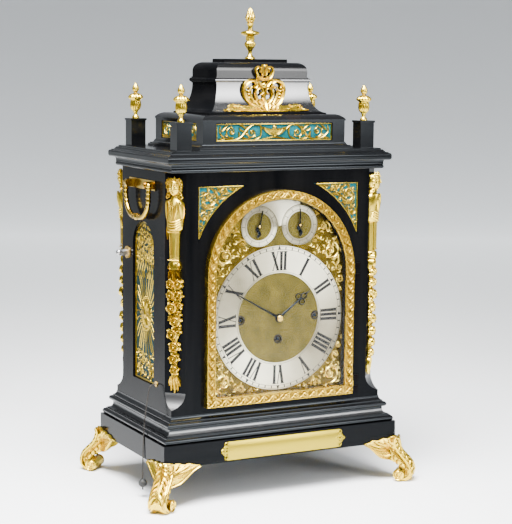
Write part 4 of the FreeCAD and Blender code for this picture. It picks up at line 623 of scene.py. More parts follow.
rose_fall = ((-0.92, 313, 6), (0.92, 313, 6), (-0.92, 297, 6), (0.92, 297, 6), (0.5, 279, 7.2),
             (-1.2, 283, 4.8), (-1.2, 271, 4.4), (-0.3, 260, 6.8), (1.2, 264, 4.2), (0.4, 242, 7),
             (-1.2, 247, 4.4), (0, 224, 7), (0.1, 207, 6.4), (0, 191, 5.6))
figure_gilt = gilding("figure_gilding", (0.77, 0.54, 0.045), (0.16, 0.092, 0.01))
cant_x = 159.3
cant_y = 88.3
figures = Casting()
for side_x in (-1, 1):
    for side_y in (-1, 1):
        def on_cant(across, level, proud):
            step_x = (proud + across) * math.sqrt(0.5)
            step_y = (proud - across) * math.sqrt(0.5)
            return (side_x * (cant_x + step_x), side_y * (cant_y + step_y), level)

        def on_bust(across, level, proud):
            half = 12 + (level - 389) * 0.06
            round_share = math.sqrt(max(0.05, 1 - (across / half) ** 2))
            return on_cant(across, level, (9.5 + (level - 389) * 0.07) * round_share + proud)

        def on_face(across, level, proud):
            swell_out = math.sqrt(max(0.0, 1 - (across / 9.2) ** 2 - ((level - 448) / 13.5) ** 2))
            return on_cant(across, level, 3 + 10 * swell_out + proud)

        figures.ridge([(0, 162), (0, 240), (0, 330)], dwindle(4, 8), dwindle(2, 3), on_cant)
        for turn, level, size in rose_fall:
            middle = turn * size
            lift = 1.5 + size * 0.45
            for leaf_turn in (0.2, 1.3, 2.4, 3.4, 4.5, 5.5):
                reach_u = size * math.cos(leaf_turn + level)
                reach_v = size * math.sin(leaf_turn + level)
                tip = (min(max(middle + reach_u * 1.35, -11.6), 11.6), level + reach_v * 1.35)
                bend = (middle + reach_u * 1.2 - reach_v * 0.4, level + reach_v * 1.2 + reach_u * 0.4)
                figures.leaf(bow((middle + reach_u * 0.4, level + reach_v * 0.4), bend, tip),
                             swell(size, 0.3), swell(3, 0.4), on_cant, lift * 0.5)
            rose(figures, (middle, level), size * 1.06, on_cant, lift)
        for lean_out, end in ((-8, 168), (8, 168), (-5, 161), (5, 161), (0, 157.5)):
            figures.leaf(bow((lean_out * 0.2, 184), (lean_out * 0.9, 178), (lean_out, end)),
                         swell(5.4, 0.3), swell(4, 0.4), on_cant, 0.5)
        for side in (-1, 1):
            figures.ridge(curl((side * 6.2, 337.5), 5.2, 1.2, 90, side * 430), dwindle(2.6, 1.8), 8.5,
                          on_cant)
            figures.leaf(bow((side * 2, 334), (side * 8, 331), (side * 8.5, 318)), swell(6),
                         swell(8, 0.5), on_cant)
            figures.ridge(bow((side * 5, 346), (side * 5.4, 368), (side * 6.4, 388)), 1.6, 1.6, on_cant,
                          6.6)
        figures.leaf(bow((0, 335), (0, 326), (0, 313)), swell(8), swell(10, 0.5), on_cant)
        rounded(figures, ((7.2, 7, 333), (9.8, 10, 334), (9.8, 10, 342), (8.4, 9, 344)), on_cant)
        rounded(figures, ((6.4, 7.6, 343.5), (8.2, 9.0, 391)), on_cant, 6)
        figures.ridge([(0, 351), (0, 366), (0, 382)], 4.6, 0.9, on_cant, 7.6)
        for level in (347, 386.5):
            figures.ridge([(-8, level), (0, level), (8, level)], 1.8, 1.6, on_cant, 7.6)
        rounded(figures, ((8.2, 8.4, 387), (11.4, 9.4, 390), (12, 10, 396), (12.4, 10.8, 404),
                          (13, 11.4, 412), (13.8, 11.6, 420), (13.6, 10.4, 426), (11.4, 9, 430),
                          (6.4, 7.5, 432.5), (5.2, 7, 436), (5, 7.4, 440)), on_cant, 18)
        for side in (-1, 1):
            figures.ridge(bow((side * 9.5, 430), (side * 12.6, 420), (side * 11.4, 405), 8),
                          swell(5.4, 0.5), swell(3.6, 0.6), on_bust)
            figures.ridge(bow((side * 5.6, 430), (side * 7, 418), (side * 2, 405), 8), swell(3.4, 0.4),
                          swell(3, 0.5), on_bust)
        for fold in range(3):
            figures.ridge(bow(((fold - 1) * 3, 424), ((fold - 1) * 2.6, 414), ((fold - 1) * 1.6, 403), 8),
                          swell(2.3, 0.4), swell(2, 0.5), on_bust)
        for fold in range(4):
            swag = bow((-11.4, 405.5 - fold * 3), (2, 396 - fold * 4), (11.4, 404 - fold * 3.4), 8)
            figures.ridge(swag, swell(3.2, 0.6), swell(2.8, 0.6), on_bust)
        for drop in (-1.6, 1.6):
            figures.leaf(bow((9, 398), (9.6 + drop, 390), (9 + drop, 375)), swell(4), swell(3.4, 0.5),
                         on_cant, 3)
        rounded(figures, ((3, 6, 435.5), (7, 10.5, 439), (8.8, 12.4, 444), (9.4, 13, 449), (9, 12.4, 454),
                          (7, 10, 459), (2.5, 5.5, 462)), on_cant, 18)
        figures.ridge(bow((0, 452.5), (0, 449), (0, 446.2), 5), dwindle(1.8, 3.4), dwindle(0.9, 2.3),
                      on_face)
        figures.ridge([(-2.4, 443), (0, 443.5), (2.4, 443)], swell(1.5, 0.4), 1.1, on_face)
        figures.ridge([(-1.9, 441.8), (0, 441.5), (1.9, 441.8)], swell(1.6, 0.4), 1.1, on_face)
        figures.dome((0, 438.7), 2.4, 1.3, on_face, 0, 8)
        for side in (-1, 1):
            figures.ridge(bow((side * 1.6, 452.8), (side * 3.6, 454), (side * 5.8, 452.2)),
                          swell(1.3, 0.5), 0.9, on_face)
            figures.ridge(bow((side * 2.1, 450.4), (side * 3.6, 451), (side * 5.2, 450.2)),
                          swell(1.5, 0.3), 0.9, on_face)
            figures.dome((side * 5, 446), 2.6, 0.7, on_face, 0, 8)
            for row in range(6):
                level = 458.5 - row * 4.6
                figures.ridge(curl((side * (8.6 + 1.4 * math.sin(row * 1.3)), level), 3.4, 0.8,
                                   90 + 40 * row, side * 400, 12), 1.9, 2.6, on_cant, 6.6 - 0.5 * row)
        for number in range(7):
            angle = math.pi * (0.08 + 0.84 * number / 6)
            figures.ridge(curl((8.2 * math.cos(angle), 452.5 + 7.4 * math.sin(angle)), 2.9, 0.7,
                               40 * number, 400, 12), 1.7, 2.4, on_cant, 8.8)
figures.settle("corner_terms", figure_gilt, "corner_figures")


# Side frets: sheets of gilt brass sawn and chased into an arched panel, set in the window of each side.
# Thin rays spread from an oval flower, with a lyre of stems over them.
# Close leaf fills the head and the foot.

def leafy_scroll(casting, centre, radius, start, sweep, place, stem, rise, leaves=4, base=0.0):
    """Spiral stem with leaves on its outer side and a flower at its eye."""
    path = curl(centre, radius, radius * 0.24, start, sweep)
    casting.ridge(path, dwindle(stem, stem * 0.65), rise, place, base)
    hand = math.copysign(1, sweep)
    for number in range(leaves):
        u, v = path[int(len(path) * (0.04 + 0.55 * number / leaves))]
        out_u = (u - centre[0]) / radius
        out_v = (v - centre[1]) / radius
        size = radius * (0.6 - 0.07 * number)
        bend = (u + size * (out_u * 0.7 - hand * out_v * 0.1),
                v + size * (out_v * 0.7 + hand * out_u * 0.1))
        tip = (u + size * (out_u * 0.5 - hand * out_v * 0.8),
               v + size * (out_v * 0.5 + hand * out_u * 0.8))
        casting.leaf(bow((u, v), bend, tip), swell(stem * 1.7), rise * 0.85, place, base)
    petalled(casting, centre, radius * 0.34, place, base, 5)


def leaf_fill(casting, place, inside, box, count, length, breadth, rise, base=0.0):
    """Curling leaves spread evenly through a region, each turned its own way."""
    left, low, right, high = box
    for number in range(count):
        u = left + (right - left) * (number * 0.754877 % 1)
        v = low + (high - low) * (number * 0.56984 % 1)
        turn = number * 2.4
        bend = (u + 0.7 * length * math.cos(turn + 0.9), v + 0.7 * length * math.sin(turn + 0.9))
        tip = (u + length * math.cos(turn), v + length * math.sin(turn))
        if inside(u, v) and inside(*bend) and inside(*tip):
            casting.leaf(bow((u, v), bend, tip, 5), swell(breadth, 0.3), swell(rise, 0.5), place, base)


def framed(casting, path, breadth, rise, place):
    """Plain fillet along a closed line."""
    flat = ((-1, 0), (-0.85, 0.9), (0, 1), (0.85, 0.9), (1, 0))
    casting.ridge(path + [path[0]], breadth, rise, place, 0.0, flat)


fret_gilt = gilding("chased_fret_gilding", (0.48, 0.335, 0.03), (0.05, 0.028, 0.002), 0.28)
# Painted shade: the side frets get a darker copy of the fret gilding.
shaded_side_gilt = gilding("side_fret_shaded_gilding", (0.37, 0.25, 0.02), (0.035, 0.02, 0.0015), 0.32)
window_half = 38
window_sill = 159
window_spring = 355
window_back = 165.5
boss_level = 258
ray_count = 28
side_frets = Casting()


def in_head(across, level):
    reach = math.hypot(across, max(level - window_spring, 0.0))
    return reach < window_half - 2 and level > 332 - abs(across) * 0.3


def in_foot(across, level):
    return abs(across) < window_half - 2 and window_sill + 2 < level < 201 + abs(across) * 0.2


for side in (-1, 1):
    def on_flank(across, level, proud):
        return (side * (window_back + proud), across, level)

    def on_boss(across, rise_up, proud):
        return on_flank(across, boss_level + rise_up * 1.28, proud)

    edge = window_half - 1.6
    arch = curl((0, window_spring), edge, edge, 0, 180, 20)
    foot = [(-edge, 300), (-edge, 230), (-edge, window_sill + 1.6), (0, window_sill + 1.6),
            (edge, window_sill + 1.6), (edge, 230), (edge, 300)]
    framed(side_frets, arch + foot, 3.0, 1.9, on_flank)
    for number in range(ray_count):
        angle = math.tau * number / ray_count
        long = 1.0 if number % 2 == 0 else 0.9
        root = (20.5 * math.cos(angle), 20.5 * math.sin(angle))
        tip = (35 * math.copysign(abs(math.cos(angle)) ** 0.7, math.cos(angle)),
               long * 52 * math.sin(angle))
        bend = (root[0] * 0.5 + tip[0] * 0.5 - 2 * math.sin(angle),
                root[1] * 0.5 + tip[1] * 0.5 + 2 * math.cos(angle))
        side_frets.ridge(bow(root, bend, tip), dwindle(1.0, 1.6), 0.8, on_boss)
    side_frets.dome((0, 0), 17, 2.4, on_boss, 0, 24)
    for number in range(22):
        angle = math.tau * number / 22
        side_frets.dome((18.4 * math.cos(angle), 18.4 * math.sin(angle)), 2.1, 1.8, on_boss, 0, 8)
    for number in range(12):
        angle = math.tau * number / 12
        tip = (14.5 * math.cos(angle), 14.5 * math.sin(angle))
        root = (tip[0] * 0.4, tip[1] * 0.4)
        side_frets.leaf(bow(root, root, tip, 4), swell(6, 0.3), swell(2.2, 0.5), on_boss, 1.2)
    side_frets.dome((0, 0), 5.4, 3.2, on_boss, 1.4, 14)
    leaf_fill(side_frets, on_flank, in_head, (-36, 322, 36, 392), 250, 5.8, 1.6, 0.8)
    leaf_fill(side_frets, on_flank, in_foot, (-36, 160, 36, 208), 120, 5.8, 1.7, 0.8)
    for half in (-1, 1):
        def on_half(across, level, proud):
            return on_flank(half * across, level, proud)

        for number in range(4):
            low = 5 + 8 * number
            line = flowing([(low, 310), (low + 2, 320), (low - 3, 332), (low + 1, 346)])
            side_frets.ridge(line, 1.9, 1.0, on_half)
        leafy_scroll(side_frets, (17, 362), 12, 220, 430, on_half, 2.4, 1.4, 5)
        leafy_scroll(side_frets, (18, 174), 11, 140, -430, on_half, 2.4, 1.4, 5)
side_frets.settle("sunray_side_frets", shaded_side_gilt, "side_frets")


# Spandrel frets: sawn and chased brass in the two corners over the arch of the front.
# One large scroll fills each corner and smaller ones run out along the two arms.

spandrel_back = 96.9
spandrel_edge = 128.3
spandrel_top = 447.8
arch_level = 322
arch_round = 139.2
spandrel_frets = Casting()


def in_corner(across, level):
    inside = across < spandrel_edge - 0.6 and level < spandrel_top - 0.6
    return inside and math.hypot(across, level - arch_level) > arch_round + 0.6


for side in (-1, 1):
    def on_spandrel(across, level, proud):
        return (side * across, -spandrel_back - proud, level)

    low = math.degrees(math.acos(spandrel_edge / arch_round))
    high = math.degrees(math.asin((spandrel_top - arch_level) / arch_round))
    line = curl((0, arch_level), arch_round, arch_round, low, high - low, 16)
    line += [(90, spandrel_top), (spandrel_edge, spandrel_top), (spandrel_edge, 410)]
    framed(spandrel_frets, line, 1.7, 1.9, on_spandrel)
    leaf_fill(spandrel_frets, on_spandrel, in_corner, (54, 370, 129, 448), 430, 5.4, 2.2, 1.5)
    leafy_scroll(spandrel_frets, (113, 432), 11.5, 215, 460, on_spandrel, 2.4, 1.9, 5)
    leafy_scroll(spandrel_frets, (121, 406.5), 6.2, 100, -420, on_spandrel, 1.9, 1.8, 4)
    leafy_scroll(spandrel_frets, (88.5, 440), 6.2, -10, 420, on_spandrel, 1.9, 1.8, 4)
    leafy_scroll(spandrel_frets, (124, 391), 3.4, 100, 400, on_spandrel, 1.6, 1.7, 2)
    leafy_scroll(spandrel_frets, (74, 444), 3.2, 0, -400, on_spandrel, 1.6, 1.7, 2)
    for root, bend, tip in (((100, 428), (98, 438), (106, 445)), ((103, 420), (113, 415), (125, 420)),
                            ((98, 432), (93, 430), (82, 435)), ((112, 414), (116, 400), (119, 396)),
                            ((126, 386), (126.5, 380), (127, 374)), ((68, 445), (63, 445.5), (58, 446))):
        spandrel_frets.leaf(bow(root, bend, tip), swell(3.4, 0.25), 1.8, on_spandrel)
spandrel_frets.settle("corner_scroll_frets", fret_gilt, "spandrel_frets")


# Frieze frets: four sawn and chased brass panels let into the frieze under the bell.
# Scrolls with roses run out from a boat-shaped urn on the front and back and from a rose on the sides.

frieze_level = 522.5
frieze_half_height = 12.6
front_fret_half = 94
side_fret_half = 60


def on_frieze(out_x, out_y, reach):
    """Place on the side of the frieze that faces a way, so far out from the middle of the clock."""
    def place(across, rise, proud):
        out = reach + proud
        return (out_x * out - out_y * across, out_y * out + out_x * across, frieze_level + rise)

    return place


frieze_front = on_frieze(0, -1, 79.4)
frieze_back = on_frieze(0, 1, 79.4)
frieze_left = on_frieze(-1, 0, 112.4)
frieze_right = on_frieze(1, 0, 112.4)
frieze_frets = Casting()
for place, half_length in ((frieze_front, front_fret_half), (frieze_back, front_fret_half),
                           (frieze_left, side_fret_half), (frieze_right, side_fret_half)):
    edge = half_length - 1.2
    top = frieze_half_height - 1
    framed(frieze_frets, [(-edge, -top), (0, -top), (edge, -top), (edge, 0), (edge, top), (0, top),
                          (-edge, top), (-edge, 0)], 1.5, 1.9, place)
    reach = half_length / front_fret_half
    relief = 1.9 * reach ** 1.6
    for half in (-1, 1):
        def on_half(across, rise, proud):
            return place(half * across * reach, rise, proud)

        wave = flowing([(18, 4), (25, 9.6), (36, 10), (46, 3), (54, -6.5), (66, -10.4), (79, -8), (88, 0),
                        (87, 8.5)])
        frieze_frets.ridge(wave, swell(2.8, 0.7), relief, on_half)
        leafy_scroll(frieze_frets, (37, -0.6), 8.4, 70, -440, on_half, 2.4, relief, 4)
        leafy_scroll(frieze_frets, (70, 0.8), 8.8, -110, 440, on_half, 2.4, relief, 4)
        for root, bend, tip in (((46, 3), (50, 10), (57, 9.6)), ((48, 1), (56, 2), (58, 7)),
                                ((54, -6.5), (47, -10), (41, -10)), ((24, 9), (20, 0), (25, -8)),
                                ((25, -6), (29, -10), (35, -10)), ((79, -8), (86, -10), (90, -9)),
                                ((86, 1), (80, 8), (75, 10.4)), ((58, -8), (56, -2), (59, 1))):
            frieze_frets.leaf(bow(root, bend, tip), swell(3.4, 0.3), relief, on_half)
    if half_length == front_fret_half:
        bowl = flowing([(-18.5, 7), (-9, 4.4), (0, 4), (9, 4.4), (18.5, 7), (16, 1.6), (10, -3.2),
                        (0, -5.2), (-10, -3.2), (-16, 1.6)], 2)
        frieze_frets.slab(bowl, 0, 2.0, 0.5, place)
        frieze_frets.ridge(flowing([(-18.5, 7), (-9, 4.6), (0, 4.2), (9, 4.6), (18.5, 7)]), 1.8, 2.6,
                           place)
        frieze_frets.dome((0, 6.6), 3.6, 2.4, place)
        frieze_frets.dome((0, -6), 2.4, 2.2, place)
        frieze_frets.ridge(flowing([(-22, -10.4), (-11, -8.6), (0, -7.2), (11, -8.6), (22, -10.4)]),
                           swell(3, 0.5), 2.0, place)
        for number in range(7):
            u = (number - 3) * 3.8
            frieze_frets.ridge([(u, 3), (u * 0.8, 0), (u * 0.4, -3.6)], dwindle(1.8, 0.9), 0.9, place,
                               1.8)
    else:
        petalled(frieze_frets, (0, 0), 8, place, 0.4, 8)
frieze_frets.settle("urn_scroll_frets", fret_gilt, "frieze_frets")


# Silks: panels of turquoise silk, turned over thin card and stretched flat behind every fret.
# The weave is plain and fine, faded where light reaches it, and behind the side frets its colour is
# painted darker as shade.

silk = Finish("turquoise_silk")
thread = silk.place((1500.0, 1500.0, 1500.0))
warp = silk.node("ShaderNodeTexWave", {"bands_direction": "Z"},
                 {"Vector": thread, "Scale": 1.0, "Distortion": 0.6})
weft = silk.node("ShaderNodeTexWave", {"bands_direction": "DIAGONAL"},
                 {"Vector": silk.place((1500.0, 1500.0, 0.0)), "Scale": 1.0, "Distortion": 0.6})
slub = silk.noise(silk.place((1.0, 1.0, 12.0)), 160.0)
faded = silk.noise(silk.place(), 22.0)
silk_tone = silk.ramp(slub * 0.5 + faded * 0.5, (0.3, (0.001, 0.05, 0.062)),
                      (0.55, (0.0015, 0.095, 0.11)), (0.75, (0.003, 0.15, 0.17)))
# Painted shade: behind the side frets the silk is coloured far darker.
flank = 0.15
shaded = abs(silk.axis(silk.place(), "X")) > flank
silk.surface({"Base Color": silk.blend(shaded, silk_tone, (0.001, 0.018, 0.02, 1.0)),
              "Roughness": 0.55 + warp * 0.15, "Specular IOR Level": 0.12,
              "Normal": silk.bump(warp * 0.5 + weft * 0.5, 0.25, 0.0003)})


def stretched_silk(name, outline, place, stands_for=()):
    panel = Casting()
    panel.slab(outline, -0.5, -0.05, 0.02, place)
    piece = panel.settle(name, silk, *stands_for, slot="silk")


frieze_silks = (("front_silk", frieze_front, front_fret_half, ("fret_silks",)),
                ("back_silk", frieze_back, front_fret_half, ()),
                ("left_frieze_silk", frieze_left, side_fret_half, ()),
                ("right_frieze_silk", frieze_right, side_fret_half, ()))
for name, place, half_length, stands_for in frieze_silks:
    outline = [(-half_length, -frieze_half_height), (half_length, -frieze_half_height),
               (half_length, frieze_half_height), (-half_length, frieze_half_height)]
    size = (2 * frieze_half_height * mm, 2 * half_length * mm)
    stretched_silk(name, outline, place, stands_for)
for side, hand in ((-1, "left"), (1, "right")):
    def on_flank(across, level, proud):
        return (side * (window_back + proud), across, level)

    def on_spandrel(across, level, proud):
        return (side * across, -spandrel_back - proud, level)

    edge = window_half - 0.4
    outline = [(-edge, window_sill + 0.4), (edge, window_sill + 0.4)]
    outline += curl((0, window_spring), edge, edge, 0, 180, 20)
    stretched_silk(hand + "_side_silk", outline, on_flank)
    arc = curl((0, arch_level), 138.3, 138.3, 20.5, 46.2, 16)
    outline = arc + [(129.2, 448.7)]
    stretched_silk(hand + "_corner_silk", outline, on_spandrel)


# Urns: five-part turnings of gilt brass on a steel pin, one on each pedestal.
# The bowl and the lid are chased with lobes.

def lobed(casting, profile, lobes, place, sides):
    """Turned shape from rings of radius, height and depth of lobing."""
    rings = []
    for radius, height, depth in profile:
        ring = []
        for side in range(sides):
            angle = math.tau * side / sides
            reach = radius * (1 - depth + depth * abs(math.cos(lobes * angle / 2)))
            ring.append((reach * math.cos(angle), reach * math.sin(angle), height))
        rings.append(ring)
    casting.shell(rings, place)


urn_base = 538
urn_aside = 148
urn_forward = 80.5
urn_profile = ((5.2, 0, 0), (5.2, 2.2, 0), (4.4, 3.2, 0), (2.9, 4.6, 0), (2.7, 8, 0), (3.6, 9, 0),
               (3.6, 10, 0), (5.2, 11.5, 0.1), (7.4, 14.5, 0.14), (8.5, 19, 0.14), (8, 24, 0.12),
               (7.4, 26.5, 0), (7.8, 27.3, 0), (9.8, 28.4, 0.06), (11.3, 30.2, 0.1), (11, 32, 0.12),
               (9, 34.2, 0.12), (6.4, 35.8, 0.08), (3, 36.8, 0), (2.4, 37.8, 0), (3.4, 39, 0.06),
               (4.9, 41.6, 0.1), (5.1, 43.6, 0.1), (4.2, 46.4, 0.1), (2.4, 49.4, 0.06), (0.5, 52, 0))
urns = Casting()
for middle_x in (-urn_aside, urn_aside):
    for middle_y in (-urn_forward, urn_forward):
        def on_pedestal(x, y, rise):
            return (middle_x + x, middle_y + y, urn_base + rise)

        lobed(urns, urn_profile, 12, on_pedestal, 72)
urns.settle("lobed_urns", gilt, "urn_finials")


# Top finial: a taller gilt turning screwed to the plate on the bell.
# A bulb and a fluted cup carry a broad dish, and a pine bud stands over it.

finial_base = 626
finial_profile = ((7.6, 0, 0), (7.6, 2, 0), (6, 3.2, 0), (4, 5, 0), (3, 8.5, 0), (3, 12, 0),
                  (4.2, 13.2, 0), (4.4, 14.4, 0), (6.4, 17, 0.1), (8.6, 21, 0.12), (7.6, 24.4, 0.1),
                  (5.6, 26, 0), (5.6, 27, 0), (6.6, 28, 0.16), (6.2, 32, 0.2), (6.6, 33.4, 0.1),
                  (9, 34.4, 0), (13.4, 36, 0), (14, 37.6, 0), (13.2, 39.6, 0), (8, 41.2, 0), (4, 42, 0),
                  (3.4, 46.5, 0), (4.6, 50.5, 0), (5.4, 52, 0), (4.6, 53, 0))
bud_profile = ((3.4, 53, 0.1), (5.4, 56.5, 0.2), (6.9, 60, 0.2), (6.6, 63, 0.2), (5.3, 67, 0.2),
               (3.7, 70.5, 0.18), (1.8, 73.3, 0.1), (0.3, 75, 0))
finial = Casting()


def on_bell(x, y, rise):
    return (x, y, finial_base + rise)


lobed(finial, finial_profile, 14, on_bell, 84)
lobed(finial, bud_profile, 8, on_bell, 64)
for tier in range(4):
    for number in range(8):
        angle = math.tau * (number + tier * 0.5) / 8

        def on_bud(across, rise, proud):
            reach = 6.5 - 0.36 * abs(rise - 60) + proud
            return on_bell(reach * math.cos(angle) - across * math.sin(angle),
                           reach * math.sin(angle) + across * math.cos(angle), rise)

        low = 53.5 + tier * 4.4
        finial.ridge(bow((0, low), (0, low + 3), (0, low + 6.2)), swell(4 - tier * 0.8), swell(1.3, 0.4),
                     on_bud)
finial.settle("pine_finial", gilt, "top_finial")


# Bell: pearwood worked to a hollow curve, stained black and polished brighter than the case.
# It rises from the frieze to a slim neck under the bead, mitred at the four corners.

bell_front = 41
bell_side = 74
bell_low = 549
bell_neck = 591
flare_reach = 21
bell_lip = 547


def flare(level):
    """How far the hollow curve stands out from the neck at a level."""
    drop = min(max((bell_neck - level) / (bell_neck - bell_low), 0.0), 1.0)
    return flare_reach * (1 - math.sqrt(1 - drop * drop))


def plain_place(x, y, z):
    return (x, y, z)


bell_rings = []
for level in [bell_lip] + [bell_low + (bell_neck - bell_low) * (step / 20) ** 1.6 for step in range(21)]:
    half_x = bell_side + flare(level)
    half_y = bell_front + flare(level)
    bell_rings.append([(-half_x, -half_y, level), (half_x, -half_y, level), (half_x, half_y, level),
                       (-half_x, half_y, level)])
bell = Casting()
bell.shell(bell_rings, plain_place)
bell.settle("hollow_bell", bell_wood, "bell_lower", slot="ebonised_wood")


# Crest: a pierced gilt casting pinned to the front of the bell, bent to its flare.
# Trailing leaves run out along its foot, open scrolls with beads make its body and a shell crowns it.

crest_stand = 4.2
crest_gap = 0.5


def on_crest(across, level, proud):
    return (across, -bell_front - max(crest_stand, flare(level) + crest_gap) - proud, level)


crest = Casting()
for half in (-1, 1):
    def on_wing(across, level, proud):
        return on_crest(half * across, level, proud)

    crest.leaf(flowing([(4, 561), (16, 557), (30, 555.5), (44, 557), (53, 559.5), (60, 556.5)]),
               swell(8, 0.45), 2.6, on_wing)
    crest.leaf(flowing([(28, 554.5), (46, 553.4), (60, 553.6), (69, 553)]), swell(6, 0.3), 2.4, on_wing)
    crest.ridge(curl((57, 557), 3, 0.8, 90, -380, 14), 2.0, 3.0, on_wing)
    crest.ridge(curl((41, 559), 2.6, 0.8, 200, 380, 14), 1.8, 3.0, on_wing)
    crest.leaf(flowing([(9, 555), (21, 562), (30, 572), (32.5, 583), (28, 592), (19, 595), (12.5, 591),
                        (14, 586), (18, 586)]), dwindle(8.4, 4.6), 3.2, on_wing)
    crest.ridge(flowing([(13, 561), (20, 570), (22.5, 580), (20, 587)]), swell(4.6, 0.5), 2.4, on_wing)
    for number in range(4):
        crest.dome((24.4 + 0.9 * number, 570.5 + 4.8 * number), 2.1, 3.2, on_wing, 0.0, 8)
    for number in range(3):
        crest.leaf(bow((3 + 7 * number, 553), (9 + 6 * number, 560), (6 + 6 * number, 569)),
                   swell(4.6, 0.3), 2.9, on_wing)
    crest.leaf(flowing([(3, 562), (10, 567), (14, 575), (11.5, 583), (5, 585), (2.6, 579), (7, 575)]),
               dwindle(5.8, 3.2), 3.0, on_wing)
    crest.leaf(bow((2, 586), (8, 590), (13, 599)), swell(6.2), 3.0, on_wing)
    crest.leaf(flowing([(3, 599), (9, 600), (12, 604), (14, 610), (10.5, 614.5), (6, 612), (7, 607)]),
               dwindle(5.4, 3.0), 3.0, on_wing)
    crest.leaf(bow((1.6, 602), (4, 609), (3, 618.4)), swell(5.6, 0.4), 3.0, on_wing)
crest.ridge([(-12, 598), (0, 596.5), (12, 598)], swell(5.6, 0.5), 3.4, on_crest)
crest.leaf(bow((0, 553), (0, 566), (0, 580)), swell(8.5, 0.3), 3.2, on_crest)
crest.dome((0, 588), 5, 3.8, on_crest)
crest.dome((0, 616), 2.6, 3.2, on_crest)
crest.ridge([(-34, 552.2), (0, 551.8), (34, 552.2)], 3.4, 2.2, on_crest)
crest.settle("shell_crest", gilt, "crest_mount")


# Handles: a cast gilt brass bail on each side, its gilding painted darker as shade, and hung on trunnions
# between two lugs.
# Its arms are gadrooned and its grip swells to a leafy knop.
# The lugs stand on a plain bar screwed to the side.

# Painted shade: the bails and lugs get a darker copy of the gilding.
shaded_handle_gilt = gilding("handle_shaded_gilding", (0.5, 0.32, 0.03), (0.05, 0.025, 0.003), 0.22)
handle_level = 447
handle_reach = 180
handle_half = 41
handle_drop = 47
handle_bend = 30
trunnion_half = 2.15


def cast_bar(casting, path, half_thickness, place, sides=10):
    """Bar of round section along a flat path."""
    rings = []
    for share, u, v, side_u, side_v in stations(path):
        half = sized(half_thickness)(share)
        ring = []
        for side in range(sides):
            angle = math.tau * side / sides
            ring.append((u + side_u * half * math.cos(angle), v + side_v * half * math.cos(angle),
                         half * math.sin(angle)))
        rings.append(ring)
    casting.shell(rings, place)


def grip(share):
    """Half thickness along the bail: gadrooned arms, a slim bend and a leafy knop at the middle."""
    out = abs(share - 0.5) * 2
    if out < 0.12:
        return 4.6 + 0.9 * math.cos(out * math.pi / 0.12)
    if out < 0.55:
        return 4.2 - 1.6 * (out - 0.12)
    return 3.4 + 0.5 * math.cos(out * 80)


low_level = handle_level - handle_drop
arm_length = handle_drop - handle_bend
flat_half = handle_half - handle_bend
arm = [(-handle_half, handle_level - arm_length * step / 12) for step in range(12)]
turn_left = curl((-flat_half, low_level + handle_bend), handle_bend, handle_bend, 180, 90, 32)
cross = [(flat_half * (step / 8 - 1), low_level) for step in range(1, 16)]
turn_right = curl((flat_half, low_level + handle_bend), handle_bend, handle_bend, -90, 90, 32)
rise = [(handle_half, handle_level - arm_length * (1 - step / 12)) for step in range(1, 13)]
for side, hand in ((-1, "left"), (1, "right")):
    def on_handle(across, level, proud):
        return (side * (handle_reach + proud), across, level)

    bail = Casting()
    cast_bar(bail, arm + turn_left + cross + turn_right + rise, grip, on_handle)
    for end in (-1, 1):
        bail.dome((end * handle_half, handle_level), 4.2, 4.2, on_handle)
        bail.dome((end * handle_half, handle_level), 4.2, -4.2, on_handle)
        cast_bar(bail, [(end * 30.5, handle_level), (end * 36, handle_level),
                        (end * handle_half, handle_level)], trunnion_half, on_handle)
        for leaf in (-1, 0, 1):
            bail.ridge(bow((end * 3, low_level + leaf), (end * 9, low_level + leaf * 3),
                           (end * 15, low_level + leaf)), swell(2.4), swell(1.6, 0.4), on_handle, 3.0)
    bail.settle(hand + "_bail_handle", shaded_handle_gilt, hand + "_bail", body=hand + "_handle")
dress(shaded_handle_gilt, "handle_lugs")


# Bezel door: a gilt brass frame cast in one, with running leaves chased on its face between two fillets.
# Two knuckles on its right edge hang it on the case, and a black slip lines its sight edge.
# A flat glass is puttied in behind the lip.

def running_tree():
    """Node tree that sets a unit at even steps along a path: X along it, Z the way it faces."""
    tree = bpy.data.node_groups.new("running_ornament", "GeometryNodeTree")
    for name, kind in (("Path", "NodeSocketGeometry"), ("Unit", "NodeSocketObject"),
                       ("Count", "NodeSocketInt"), ("Facing", "NodeSocketVector"),
                       ("Finish", "NodeSocketMaterial")):
        tree.interface.new_socket(name, in_out="INPUT", socket_type=kind)
    tree.interface.new_socket("Result", in_out="OUTPUT", socket_type="NodeSocketGeometry")
    given = tree.nodes.new("NodeGroupInput").outputs
    steps = tree.nodes.new("GeometryNodeCurveToPoints")
    turned = tree.nodes.new("FunctionNodeAxesToRotation")
    turned.primary_axis = "X"
    turned.secondary_axis = "Z"
    unit = tree.nodes.new("GeometryNodeObjectInfo")
    set_out = tree.nodes.new("GeometryNodeInstanceOnPoints")
    realised = tree.nodes.new("GeometryNodeRealizeInstances")
    finished = tree.nodes.new("GeometryNodeSetMaterial")
    result = tree.nodes.new("NodeGroupOutput")
    for start, end in ((given["Path"], steps.inputs["Curve"]), (given["Count"], steps.inputs["Count"]),
                       (steps.outputs["Tangent"], turned.inputs[0]), (given["Facing"], turned.inputs[1]),
                       (given["Unit"], unit.inputs["Object"]),
                       (steps.outputs["Points"], set_out.inputs["Points"]),
                       (unit.outputs["Geometry"], set_out.inputs["Instance"]),
                       (turned.outputs[0], set_out.inputs["Rotation"]),
                       (set_out.outputs[0], realised.inputs[0]),
                       (realised.outputs[0], finished.inputs["Geometry"]),
                       (given["Finish"], finished.inputs["Material"]),
                       (finished.outputs[0], result.inputs[0])):
        tree.links.new(start, end)
    return tree


ornament_tree = running_tree()


def as_mesh(carrier):
    """The carrier as the scene evaluates it, as a mesh of its own."""
    bpy.context.view_layer.update()
    return bpy.data.meshes.new_from_object(carrier.evaluated_get(bpy.context.evaluated_depsgraph_get()))


